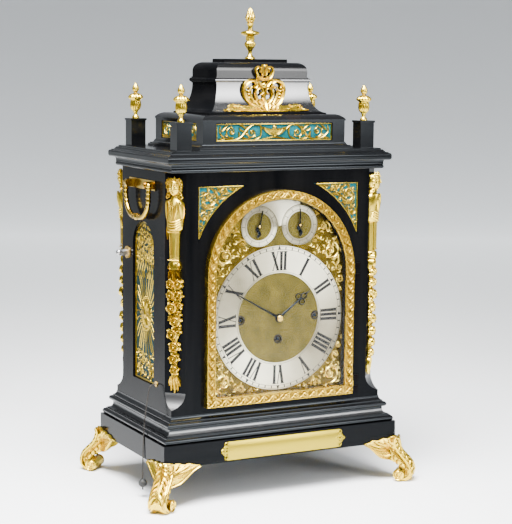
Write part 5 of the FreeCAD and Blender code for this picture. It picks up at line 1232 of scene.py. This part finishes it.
def run_along(name, path, closed, unit, count, finish, slot, body):
    """Sets a small casting at even steps along a path, facing front, and fixes the whole to a body."""
    line = bpy.data.curves.new(name + "_path", "CURVE")
    line.dimensions = "3D"
    spline = line.splines.new("POLY")
    spline.points.add(len(path) - 1)
    for point, place in zip(spline.points, path):
        point.co = (*(Vector(place) * mm), 1.0)
    spline.use_cyclic_u = closed
    carrier = bpy.data.objects.new(name + "_path", line)
    model = bpy.data.objects.new(name + "_unit", unit.mesh(name + "_unit"))
    bpy.context.collection.objects.link(carrier)
    bpy.context.collection.objects.link(model)
    modifier = carrier.modifiers.new("running", "NODES")
    modifier.node_group = ornament_tree
    values = {"Unit": model, "Count": count, "Facing": (0, -1, 0), "Finish": finish.material}
    for socket in ornament_tree.interface.items_tree:
        if socket.name in values:
            modifier[socket.identifier] = values[socket.name]
    made = as_mesh(carrier)
    carrier.modifiers.remove(modifier)
    bpy.data.objects.remove(carrier)
    bpy.data.objects.remove(model)
    return smooth_piece(name, made, slot, body)


bezel_gilt = gilding("bezel_gilding", (0.5, 0.325, 0.03), (0.045, 0.024, 0.002), 0.3)
bezel_back = 99.8
bezel_middle = 112.75
bezel_half_band = 6.75
bezel_low = 141.75
bezel_ground = 9.7
bezel_top = bezel_ground + 0.9
jamb_middle = 230
pin_x = 122.5
pin_y = -102.7


def on_bezel(across, level, proud):
    return (across, -bezel_back - proud, level)


def arched_line(half, low):
    """Line up one jamb of the door, over its arch and down the other jamb."""
    line = [(half, low), (half, jamb_middle)]
    line += curl((0, arch_level), half, half, 0, 180, 60)
    return line + [(-half, jamb_middle), (-half, low)]


def dull_black(name, scale, dark, light, shine):
    black = Finish(name)
    soot = black.noise(black.place(), scale)
    tone = black.ramp(soot, (0.3, dark), (0.7, light))
    return black.surface({"Base Color": tone, "Roughness": 0.6 + soot * 0.2, "Specular IOR Level": shine})


bezel_section = ((-1, 0), (-1, 0.9), (-0.92, 1.0), (-0.8, 1.0), (-0.74, 0.88), (0, 0.9), (0.74, 0.88),
                 (0.8, 1.0), (0.92, 1.0), (1, 0.9), (1, 0))
bezel = Casting()
arch = arched_line(bezel_middle, bezel_low - bezel_half_band)
sill = [(-bezel_middle, bezel_low), (0, bezel_low), (bezel_middle, bezel_low)]
for line in (arch, sill):
    bezel.ridge(line, 2 * bezel_half_band, bezel_top, on_bezel, 0.0, bezel_section)
for level in (145, 313):
    def on_pin(x, y, rise):
        return (pin_x + x, pin_y + y, level + rise)

    lobed(bezel, ((1.4, 0, 0), (2.4, 0.6, 0), (2.4, 9.4, 0), (1.4, 10, 0)), 1, on_pin, 12)
bezel.settle("leaf_bezel", bezel_gilt, "bezel_frame", body="bezel_door")

slip_black = dull_black("black_sight_slip", 200.0, (0.003, 0.003, 0.003), (0.012, 0.01, 0.008), 0.05)
sight = bezel_middle - bezel_half_band - 0.45
slip_line = arched_line(sight, bezel_low + bezel_half_band)
slip = Casting()
slip.ridge(slip_line, 0.8, 7.2, on_bezel, 0.05, ((-1, 0), (-1, 1), (1, 1), (1, 0)))
slip.settle("bezel_sight_slip", slip_black, body="bezel_door")

bezel_leaf = Casting()
bezel_leaf.leaf(flowing([(-7, -3.6), (-3.5, -1.4), (0, 2.4), (3.5, 3.6), (6.4, 1)], 3), swell(3.6, 0.35),
                swell(2.9, 0.5), plain_place)
for root, bend, tip in (((-3, -1), (-3, -4.6), (1.4, -4.8)), ((0.4, 2), (1.5, -1.6), (6, -3.8)),
                        ((-5, -2.6), (-6.6, 2), (-2.8, 4.8)), ((3, 3), (4, 5), (7.4, 4.4))):
    bezel_leaf.leaf(bow(root, bend, tip), swell(3.0, 0.3), swell(2.4, 0.5), plain_place)
bezel_leaf.dome((6.2, -0.6), 1.3, 2.4, plain_place, 0.0, 6)
bezel_face = -bezel_back - bezel_ground + 0.9
jamb = [(bezel_middle, bezel_face, bezel_low + 12), (bezel_middle, bezel_face, arch_level)]
crown = [(u, bezel_face, v) for u, v in curl((0, arch_level), bezel_middle, bezel_middle, 0, 90, 40)]
half_run = jamb + crown[1:]
jamb_leaves = 26
sill_leaves = 8
for side, hand in ((-1, "left"), (1, "right")):
    path = [(side * x, y, z) for x, y, z in half_run]
    run_along(hand + "_bezel_leaves", path, False, bezel_leaf, jamb_leaves, bezel_gilt, "gilt_brass",
              "bezel_door")
    path = [(side * 5.5, bezel_face, bezel_low), (side * bezel_middle, bezel_face, bezel_low)]
    run_along(hand + "_sill_leaves", path, False, bezel_leaf, sill_leaves, bezel_gilt, "gilt_brass",
              "bezel_door")

glass = Finish("clear_glass")
glass.surface({"Base Color": (0.95, 0.97, 0.96, 1.0), "Roughness": 0.02, "IOR": 1.5})
clear = glass.node("ShaderNodeBsdfTransparent", {}, {"Color": (0.985, 0.992, 0.988, 1.0)})
film = glass.noise(glass.place(), 30.0)
glance = glass.node("ShaderNodeFresnel", {}, {"IOR": 1.45})
gloss = glass.node("ShaderNodeBsdfGlossy", {}, {"Color": (1.0, 1.0, 1.0, 1.0), "Roughness": 0.02})
mixed = glass.node("ShaderNodeMixShader", {}, {0: glance * (0.16 + film * 0.06), 1: clear, 2: gloss})
glass.feed(glass.tree.nodes["Material Output"].inputs["Surface"], mixed)
dress(glass, "bezel_glass", "back_door_glass")


# Case hardware: hinge leaves, the rose behind the side knob and the bush for the cord, screwed in.
# The hinge leaves on the right are blackened and the rest is brass. The knob is turned steel.

hinge_brass = gilding("hinge_brass", (0.78, 0.5, 0.09), (0.2, 0.11, 0.02), 0.3)
fittings = Finish("brass_and_black_fittings")
spot = fittings.place()
on_right = fittings.axis(spot, "X") > 0.0
blackened = (0.005, 0.004, 0.004, 1.0)
tarnish = fittings.noise(spot, 160.0)
brassy = fittings.ramp(tarnish, (0.3, (0.45, 0.27, 0.05)), (0.7, (0.7, 0.45, 0.1)))
fittings.surface({"Base Color": fittings.blend(on_right, brassy, blackened), "Metallic": 1.0,
                  "Roughness": 0.28 + tarnish * 0.2})
dress(fittings, "case_hardware")
steel = Finish("turned_steel")
turning = steel.noise(steel.place((900.0, 60.0, 60.0)), 1.0)
rust = steel.noise(steel.place(), 130.0)
steel_tone = steel.ramp(rust, (0.35, (0.42, 0.42, 0.43)), (0.75, (0.3, 0.28, 0.26)))
steel.surface({"Base Color": steel_tone, "Metallic": 1.0,
               "Roughness": 0.22 + turning * 0.12 + rust * 0.15,
               "Normal": steel.bump(turning, 0.05, 0.0002)})
dress(steel, "side_knob")


# Dial plate: a sheet of brass with a round arched head, gilt, its middle matted with a fine punch. Under
# the mounts its colour is painted dark brown as shade.
# Dull black rings round the three winding holes are painted shade for the dark of the holes.

dial_front = 96.5
dial_level = 255.3
ring_outer = 105
ring_inner = 65.8
sub_dial_aside = 33
sub_dial_level = 389
sub_dial_outer = 28.7
winding_holes = ((-61, 255.3), (0, 224.3), (61, 255.3))


def on_dial(across, level, proud):
    return (across, -dial_front - proud, level)


plate_gilt = Finish("matted_dial_plate")
spot = plate_gilt.place()
punch = plate_gilt.noise(spot, 620.0, 6.0)
stain = plate_gilt.noise(spot, 60.0, 5.0)
offset = plate_gilt.place((1.0, 0.0, 1.0), (0.0, 0.0, -dial_level * mm))
far = plate_gilt.node("ShaderNodeVectorMath", {"operation": "LENGTH"}, {0: offset}, "Value")
middle = far < ring_inner * mm
arch_low = 0.36
arch_half = 0.055
between = (plate_gilt.axis(spot, "Z") > arch_low) * (abs(plate_gilt.axis(spot, "X")) < arch_half)
plain = plate_gilt.maths("MAXIMUM", middle, between)
matted = plate_gilt.ramp(stain * 0.3 + punch * 0.7, (0.36, (0.035, 0.026, 0.003)),
                         (0.5, (0.105, 0.08, 0.011)), (0.64, (0.19, 0.148, 0.024)))
# Painted shade: outside the matted parts the plate is coloured dark brown, for the shade between the
# mounts.
painted_shade_ground = plate_gilt.ramp(stain, (0.35, (0.06, 0.038, 0.004)), (0.65, (0.14, 0.092, 0.011)))
plate_gilt.surface({"Base Color": plate_gilt.blend(plain, painted_shade_ground, matted), "Metallic": 1.0 - plain * 0.25,
                    "Roughness": 0.42 + plain * 0.12 + punch * 0.12,
                    "Normal": plate_gilt.bump(punch, 0.35, 0.0004)})
dress(plate_gilt, "dial_plate")

# Painted shade: black rings on the plate round each winding hole.
hole_shade_black = dull_black("painted_hole_shade", 400.0, (0.008, 0.007, 0.006), (0.03, 0.025, 0.018), 0.1)
hole_shade_rings = Casting()
for across, level in winding_holes:
    framed(hole_shade_rings, curl((across, level), 5.6, 5.6, 0, 345, 23), 2.8, 1.1, on_dial)
hole_shade_rings.settle("winding_bushes", hole_shade_black, slot="blued_steel")


# Dial mounts: one gilt casting of close acanthus that fills the plate round the chapter ring.
# Large scrolls turn in the lower corners, and more of them climb into the arch beside the sub-dials.

mount_gilt = gilding("dial_mount_gilding", (0.93, 0.72, 0.15), (0.26, 0.17, 0.025), 0.26)
mounts = Casting()
dial_half = 108.5
mount_low = 146


def far_from_rings(across, level, margin):
    clear = math.hypot(across, level - dial_level) > ring_outer + margin
    for middle_x in (-sub_dial_aside, sub_dial_aside):
        clear = clear and math.hypot(across - middle_x, level - sub_dial_level) > sub_dial_outer + margin
    return clear


def inside_sight(across, level, margin):
    reach = math.hypot(across, max(level - arch_level, 0.0))
    return reach < dial_half - margin and abs(across) < dial_half - margin and level > mount_low + margin


def beside_rings(across, level):
    beside = far_from_rings(across, level, 1.0) and inside_sight(across, level, 1.2)
    return beside and (across > 26 or level < 340)


for half in (-1, 1):
    def on_mount(across, level, proud):
        return on_dial(half * across, level, proud)

    for centre, radius, start, sweep in (((88, 166), 15, 250, 470), ((97, 194), 7, -90, -400),
                                         ((61, 154.5), 6.5, 0, 400), ((101.5, 208), 4.4, 90, 400),
                                         ((46, 150), 3.4, 180, -400), ((86, 349), 14, 70, -470),
                                         ((100.5, 325), 6, 100, 400), ((102, 306), 4.6, 90, -400),
                                         ((75, 385), 9, -60, 430), ((98, 366), 5, 190, -380),
                                         ((59, 366), 5.4, 20, 400), ((60, 408), 4.4, 160, -380),
                                         ((103, 292), 2.6, 90, 380), ((105, 220), 2.6, 90, -380)):
        leafy_scroll(mounts, centre, radius, start, sweep, on_mount, max(1.6, radius * 0.24), 2.3, 6, 0.1)
    leaf_fill(mounts, on_mount, beside_rings, (0, mount_low, dial_half, 430), 520, 6.2, 2.4, 1.2, 0.02)
mounts.settle("acanthus_dial_mounts", mount_gilt, "dial_spandrels")


# Chapter ring and sub-dials: brass rings silvered dull, with a grain that runs round them, and a painted
# reflection of that grain that lightens and darkens their colour in quarters round the centre.
# A small silvered plaque with a waved edge is pinned between the sub-dials and left bare.

def silvering(name, centre_x, centre_level):
    silver = Finish(name)
    spot = silver.place((1.0, 0.0, 1.0), (-centre_x * mm, 0.0, -centre_level * mm))
    far = silver.node("ShaderNodeVectorMath", {"operation": "LENGTH"}, {0: spot}, "Value")
    rings = silver.node("ShaderNodeCombineXYZ", {}, {"X": far * 2400.0})
    grain = silver.noise(rings, 1.0, 2.0)
    cloud = silver.noise(silver.place(), 38.0, 4.0)
    across = silver.axis(spot, "X")
    level = silver.axis(spot, "Z")
    # Painted reflection: the colour brightens and darkens with the angle round the centre, as light on
    # the circular grain.
    painted_grain_glint = silver.maths("COSINE", silver.maths("ARCTAN2", across, level) * 2.0 - 1.0, 0.0)
    tone = silver.ramp(0.5 + painted_grain_glint * 0.32 + cloud * 0.3 - 0.15, (0.15, (0.2, 0.172, 0.112)),
                       (0.5, (0.5, 0.445, 0.32)), (0.85, (0.92, 0.86, 0.68)))
    return silver.surface({"Base Color": tone, "Metallic": 0.6,
                           "Roughness": 0.36 + grain * 0.16 + cloud * 0.1,
                           "Normal": silver.bump(grain, 0.08, 0.0002)})


ring_silver = silvering("silvered_chapter_ring", 0, dial_level)
dress(ring_silver, "chapter_ring")
sub_silver = silvering("silvered_arch", 0, sub_dial_level)
dress(sub_silver, "arch_silvering")

ring_face = dial_front + 1.4
wax = Finish("black_wax")
worn = wax.noise(wax.place(), 300.0)
wax.surface({"Base Color": wax.ramp(worn, (0.3, (0.006, 0.006, 0.007)), (0.75, (0.03, 0.028, 0.027))),
             "Roughness": 0.5 + worn * 0.25, "Specular IOR Level": 0.1})

numerals = ("XII", "I", "II", "III", "IIII", "V", "VI", "VII", "VIII", "IX", "X", "XI")
letter_width = {"I": 6.6, "V": 12.6, "X": 13.6}
numeral_top = 96.4
numeral_foot = 69.6
thick = 4.5
thin = 1.3
wax_work = Casting()


def stroke(casting, place, start, end, width):
    half = width / 2
    casting.slab([(start[0] - half, start[1]), (start[0] + half, start[1]), (end[0] + half, end[1]),
                  (end[0] - half, end[1])], 0, 0.12, 0.01, place)


for hour, numeral in enumerate(numerals):
    angle = math.tau * hour / 12

    def on_hour(across, reach, proud):
        wide = across * (0.72 + 0.28 * reach / numeral_top)
        return (wide * math.cos(angle) + reach * math.sin(angle), -ring_face - proud,
                dial_level + reach * math.cos(angle) - wide * math.sin(angle))

    start = -sum(letter_width[letter] for letter in numeral) / 2
    for letter in numeral:
        width = letter_width[letter]
        middle = start + width / 2
        arm = width / 2 - 2.4
        start += width
        if letter == "I":
            strokes = ((middle, middle, thick),)
        elif letter == "V":
            strokes = ((middle - arm, middle, thick), (middle + arm, middle, thin))
        else:
            strokes = ((middle - arm, middle + arm, thick), (middle + arm, middle - arm, thin))
        for top, foot, weight in strokes:
            stroke(wax_work, on_hour, (top, numeral_top), (foot, numeral_foot), weight)
            for end, level in ((top, numeral_top - 0.5), (foot, numeral_foot - 0.5)):
                stroke(wax_work, on_hour, (end, level), (end, level + 1.0), weight + 2.2)


def on_ring(across, level, proud):
    return (across, -ring_face - proud, dial_level + level)


def flat_circle(casting, centre, radius, width, place):
    casting.ridge(curl(centre, radius, radius, 0, 360, 90), width, 0.1, place, 0.0,
                  ((-1, 0), (-0.9, 1), (0.9, 1), (1, 0)))


for radius, width in ((103.6, 0.5), (99.4, 0.5), (67.6, 0.5)):
    flat_circle(wax_work, (0, 0), radius, width, on_ring)
sub_face = dial_front + 1.4


def on_arch(across, level, proud):
    return (across, -sub_face - proud, level)


for middle_x in (-sub_dial_aside, sub_dial_aside):
    for radius in (27.6, 22.4):
        flat_circle(wax_work, (middle_x, sub_dial_level), radius, 0.45, on_arch)
wax_work.settle("waxed_numerals", wax, slot="blued_steel")

tick = Casting()
tick.slab([(-0.8, -1.8), (0.8, -1.8), (0.8, 2.0), (-0.8, 2.0)], 0, 0.1, 0.01, plain_place)
five = Casting()
five.slab([(0, -4.4), (2.4, 2.0), (-2.4, 2.0)], 0, 0.11, 0.01, plain_place)
sub_tick = Casting()
sub_tick.slab([(-0.35, -2.4), (0.35, -2.4), (0.35, 2.4), (-0.35, 2.4)], 0, 0.1, 0.01, plain_place)


def circle_path(middle_x, level, radius, depth):
    return [(middle_x + u, -depth, level + v) for u, v in curl((0, 0), radius, radius, 90, 357, 119)]


minute_path = circle_path(0, dial_level, 101.5, ring_face)
run_along("minute_ticks", minute_path, True, tick, 60, wax, "blued_steel", "case")
run_along("five_minute_marks", minute_path, True, five, 12, wax, "blued_steel", "case")
for middle_x, hand in ((-sub_dial_aside, "left"), (sub_dial_aside, "right")):
    path = circle_path(middle_x, sub_dial_level, 25, sub_face)
    run_along(hand + "_arch_ticks", path, True, sub_tick, 12, wax, "blued_steel", "case")


# Hands: sawn and filed from steel and blued by heat, held by a domed brass collet on the minute arbor.
# The hour hand ends in a pierced trefoil and the minute hand is a plain blade.
# Each sub-dial has a pointer with a scrolled tail.

blue = Finish("heat_blued_steel")
oxide = blue.noise(blue.place(), 120.0, 4.0)
blue_tone = blue.ramp(oxide, (0.3, (0.003, 0.005, 0.008)), (0.6, (0.006, 0.01, 0.016)),
                      (0.8, (0.02, 0.024, 0.03)))
blue.surface({"Base Color": blue_tone, "Metallic": 0.85, "Roughness": 0.24 + oxide * 0.2})


def hand_place(centre_x, centre_level, clockwise, depth):
    angle = math.radians(clockwise)

    def on_hand(across, reach, proud):
        return (centre_x + across * math.cos(angle) + reach * math.sin(angle), -depth - proud,
                centre_level + reach * math.cos(angle) - across * math.sin(angle))

    return on_hand


sub_hand_depth = 99.15
hour_hand_depth = 99.25
minute_hand_depth = 102.25
hour_place = hand_place(0, dial_level, 53.5, hour_hand_depth)
hour_hand = Casting()
hour_hand.slab(curl((0, 0), 6.4, 6.4, 0, 345, 23), 0, 1.1, 0.3, hour_place)
hour_hand.ridge([(0, 5), (0, 20), (0, 40)], dwindle(3.4, 2.2), 1.1, hour_place)
for centre in ((0, 50.5), (-5, 43), (5, 43)):
    hour_hand.ridge(curl(centre, 4.2, 4.2, 0, 360, 20), 1.6, 1.1, hour_place)
hour_hand.ridge([(0, 54), (0, 57), (0, 60), (0, 62.6)], dwindle(3.4, 0.5), 1.1, hour_place)
hour_hand.settle("trefoil_hour_hand", blue, "hour_hand", slot="blued_steel", body="hour_work")

minute_place = hand_place(0, dial_level, -61, minute_hand_depth)
minute_hand = Casting()
minute_hand.slab(curl((0, 0), 5.4, 5.4, 0, 345, 23), 0, 1.1, 0.3, minute_place)
minute_hand.ridge([(0, 4), (0, 30), (0, 70), (0, 99.9)], dwindle(4.0, 1.0), 1.1, minute_place)
minute_hand.settle("plain_minute_hand", blue, "minute_hand", slot="blued_steel", body="minute_work")
collet = Casting()
collet.dome((0, 0), 4.8, 2.6, minute_place, 1.05, 20)
collet.settle("hand_collet", hinge_brass, body="minute_work")

for name, middle_x, clockwise in (("strike_hand", -sub_dial_aside, 12),
                                  ("chime_hand", sub_dial_aside, 0)):
    sub_place = hand_place(middle_x, sub_dial_level, clockwise, sub_hand_depth)
    pointer = Casting()
    pointer.slab(curl((0, 0), 3.4, 3.4, 0, 340, 17), 0, 1.0, 0.2, sub_place)
    pointer.ridge([(0, 2), (0, 12), (0, 23.5)], dwindle(2.8, 1.5), 1.0, sub_place)
    pointer.ridge(flowing([(0, -1), (-3, -4.4), (0.6, -8), (2.6, -11), (-0.6, -15.6)]), dwindle(5.6, 3.4),
                  1.0, sub_place)
    pointer.settle("scroll_" + name, blue, name, slot="blued_steel", body=name)
    stud = Casting()
    stud.dome((0, 0), 2.0, 1.0, sub_place, 0.95, 12)
    stud.settle(name + "_stud", hinge_brass, body=name)


# Movement: three trains between heavy brass plates held by turned pillars, on the seat board.
# Plates and wheels are lacquered brass, and the pallets and the hammer are steel.
# The coiled gong and the winding squares are blued steel.

def lacquered(name, bright, dark):
    brass = Finish(name)
    brushed = brass.noise(brass.place((12.0, 12.0, 400.0)), 1.0, 3.0)
    cloud = brass.noise(brass.place(), 35.0, 4.0)
    tone = brass.ramp(cloud, (0.3, dark), (0.68, bright))
    return brass.surface({"Base Color": tone, "Metallic": 1.0,
                          "Roughness": 0.22 + brushed * 0.16 + cloud * 0.1,
                          "Normal": brass.bump(brushed, 0.06, 0.0002)})


plate_brass = lacquered("lacquered_plates", (0.8, 0.58, 0.26), (0.6, 0.4, 0.15))
wheel_brass = lacquered("cut_wheel_brass", (0.85, 0.63, 0.3), (0.66, 0.45, 0.18))
dress(plate_brass, "movement_plates", "movement_pillars", "spring_barrels")
dress(wheel_brass, "cannon_pinion", "minute_wheel", "hour_wheel", "train_wheels", "escape_wheel",
      "pendulum")
dress(steel, "pallets", "strike_hammer")
dress(blue, "strike_gong", "strike_winder", "going_winder", "chime_winder")


# Pull cord: a plaited cotton cord that leaves a brass bush in the left side and hangs over the mouldings.
# A turned ball of dull pewter on its end works the repeat.

cord_points = [(-171.7, -48, 163.6), (-180.5, -48, 163.6), (-183, -48, 152), (-191.9, -48.2, 93.5),
               (-192.1, -48.6, 27)]
cord_line = bpy.data.curves.new("cord_line", "CURVE")
cord_line.dimensions = "3D"
cord_line.resolution_u = 12
spline = cord_line.splines.new("NURBS")
spline.points.add(len(cord_points) - 1)
for point, place in zip(spline.points, cord_points):
    point.co = (*(Vector(place) * mm), 1.0)
spline.order_u = 3
spline.use_endpoint_u = True
cord_carrier = bpy.data.objects.new("cord_line", cord_line)
bpy.context.collection.objects.link(cord_carrier)
cord_path = [tuple(vertex.co) for vertex in as_mesh(cord_carrier).vertices]
cord_line.bevel_depth = 0.8 * mm
cord_line.bevel_resolution = 3
cord_line.use_fill_caps = True
cord_mesh = as_mesh(cord_carrier)
bpy.data.objects.remove(cord_carrier)
cord_mesh.shade_smooth()
cotton = Finish("plaited_cotton")
plait = cotton.node("ShaderNodeTexWave", {"bands_direction": "DIAGONAL"},
                    {"Vector": cotton.place((900.0, 900.0, 900.0))})
soil = cotton.noise(cotton.place(), 90.0)
cord_tone = cotton.ramp(plait * 0.6 + soil * 0.4, (0.25, (0.006, 0.005, 0.004)),
                        (0.7, (0.025, 0.02, 0.016)))
cotton.surface({"Base Color": cord_tone, "Roughness": 0.8 + soil * 0.15,
                "Normal": cotton.bump(plait, 0.5, 0.0002)})
cord_mesh.materials.append(cotton.material)
cord = bpy.data.objects.new("repeat_cord", cord_mesh)
bpy.context.collection.objects.link(cord)
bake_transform(cord)
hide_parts("pull_cord")
pewter = Finish("dull_pewter")
dull = pewter.noise(pewter.place(), 300.0)
pewter.surface({"Base Color": pewter.ramp(dull, (0.3, (0.012, 0.012, 0.012)),
                                          (0.7, (0.035, 0.035, 0.033))), "Metallic": 0.2,
                "Roughness": 0.42 + dull * 0.2, "Specular IOR Level": 0.3})
dress(pewter, "pull_ball")
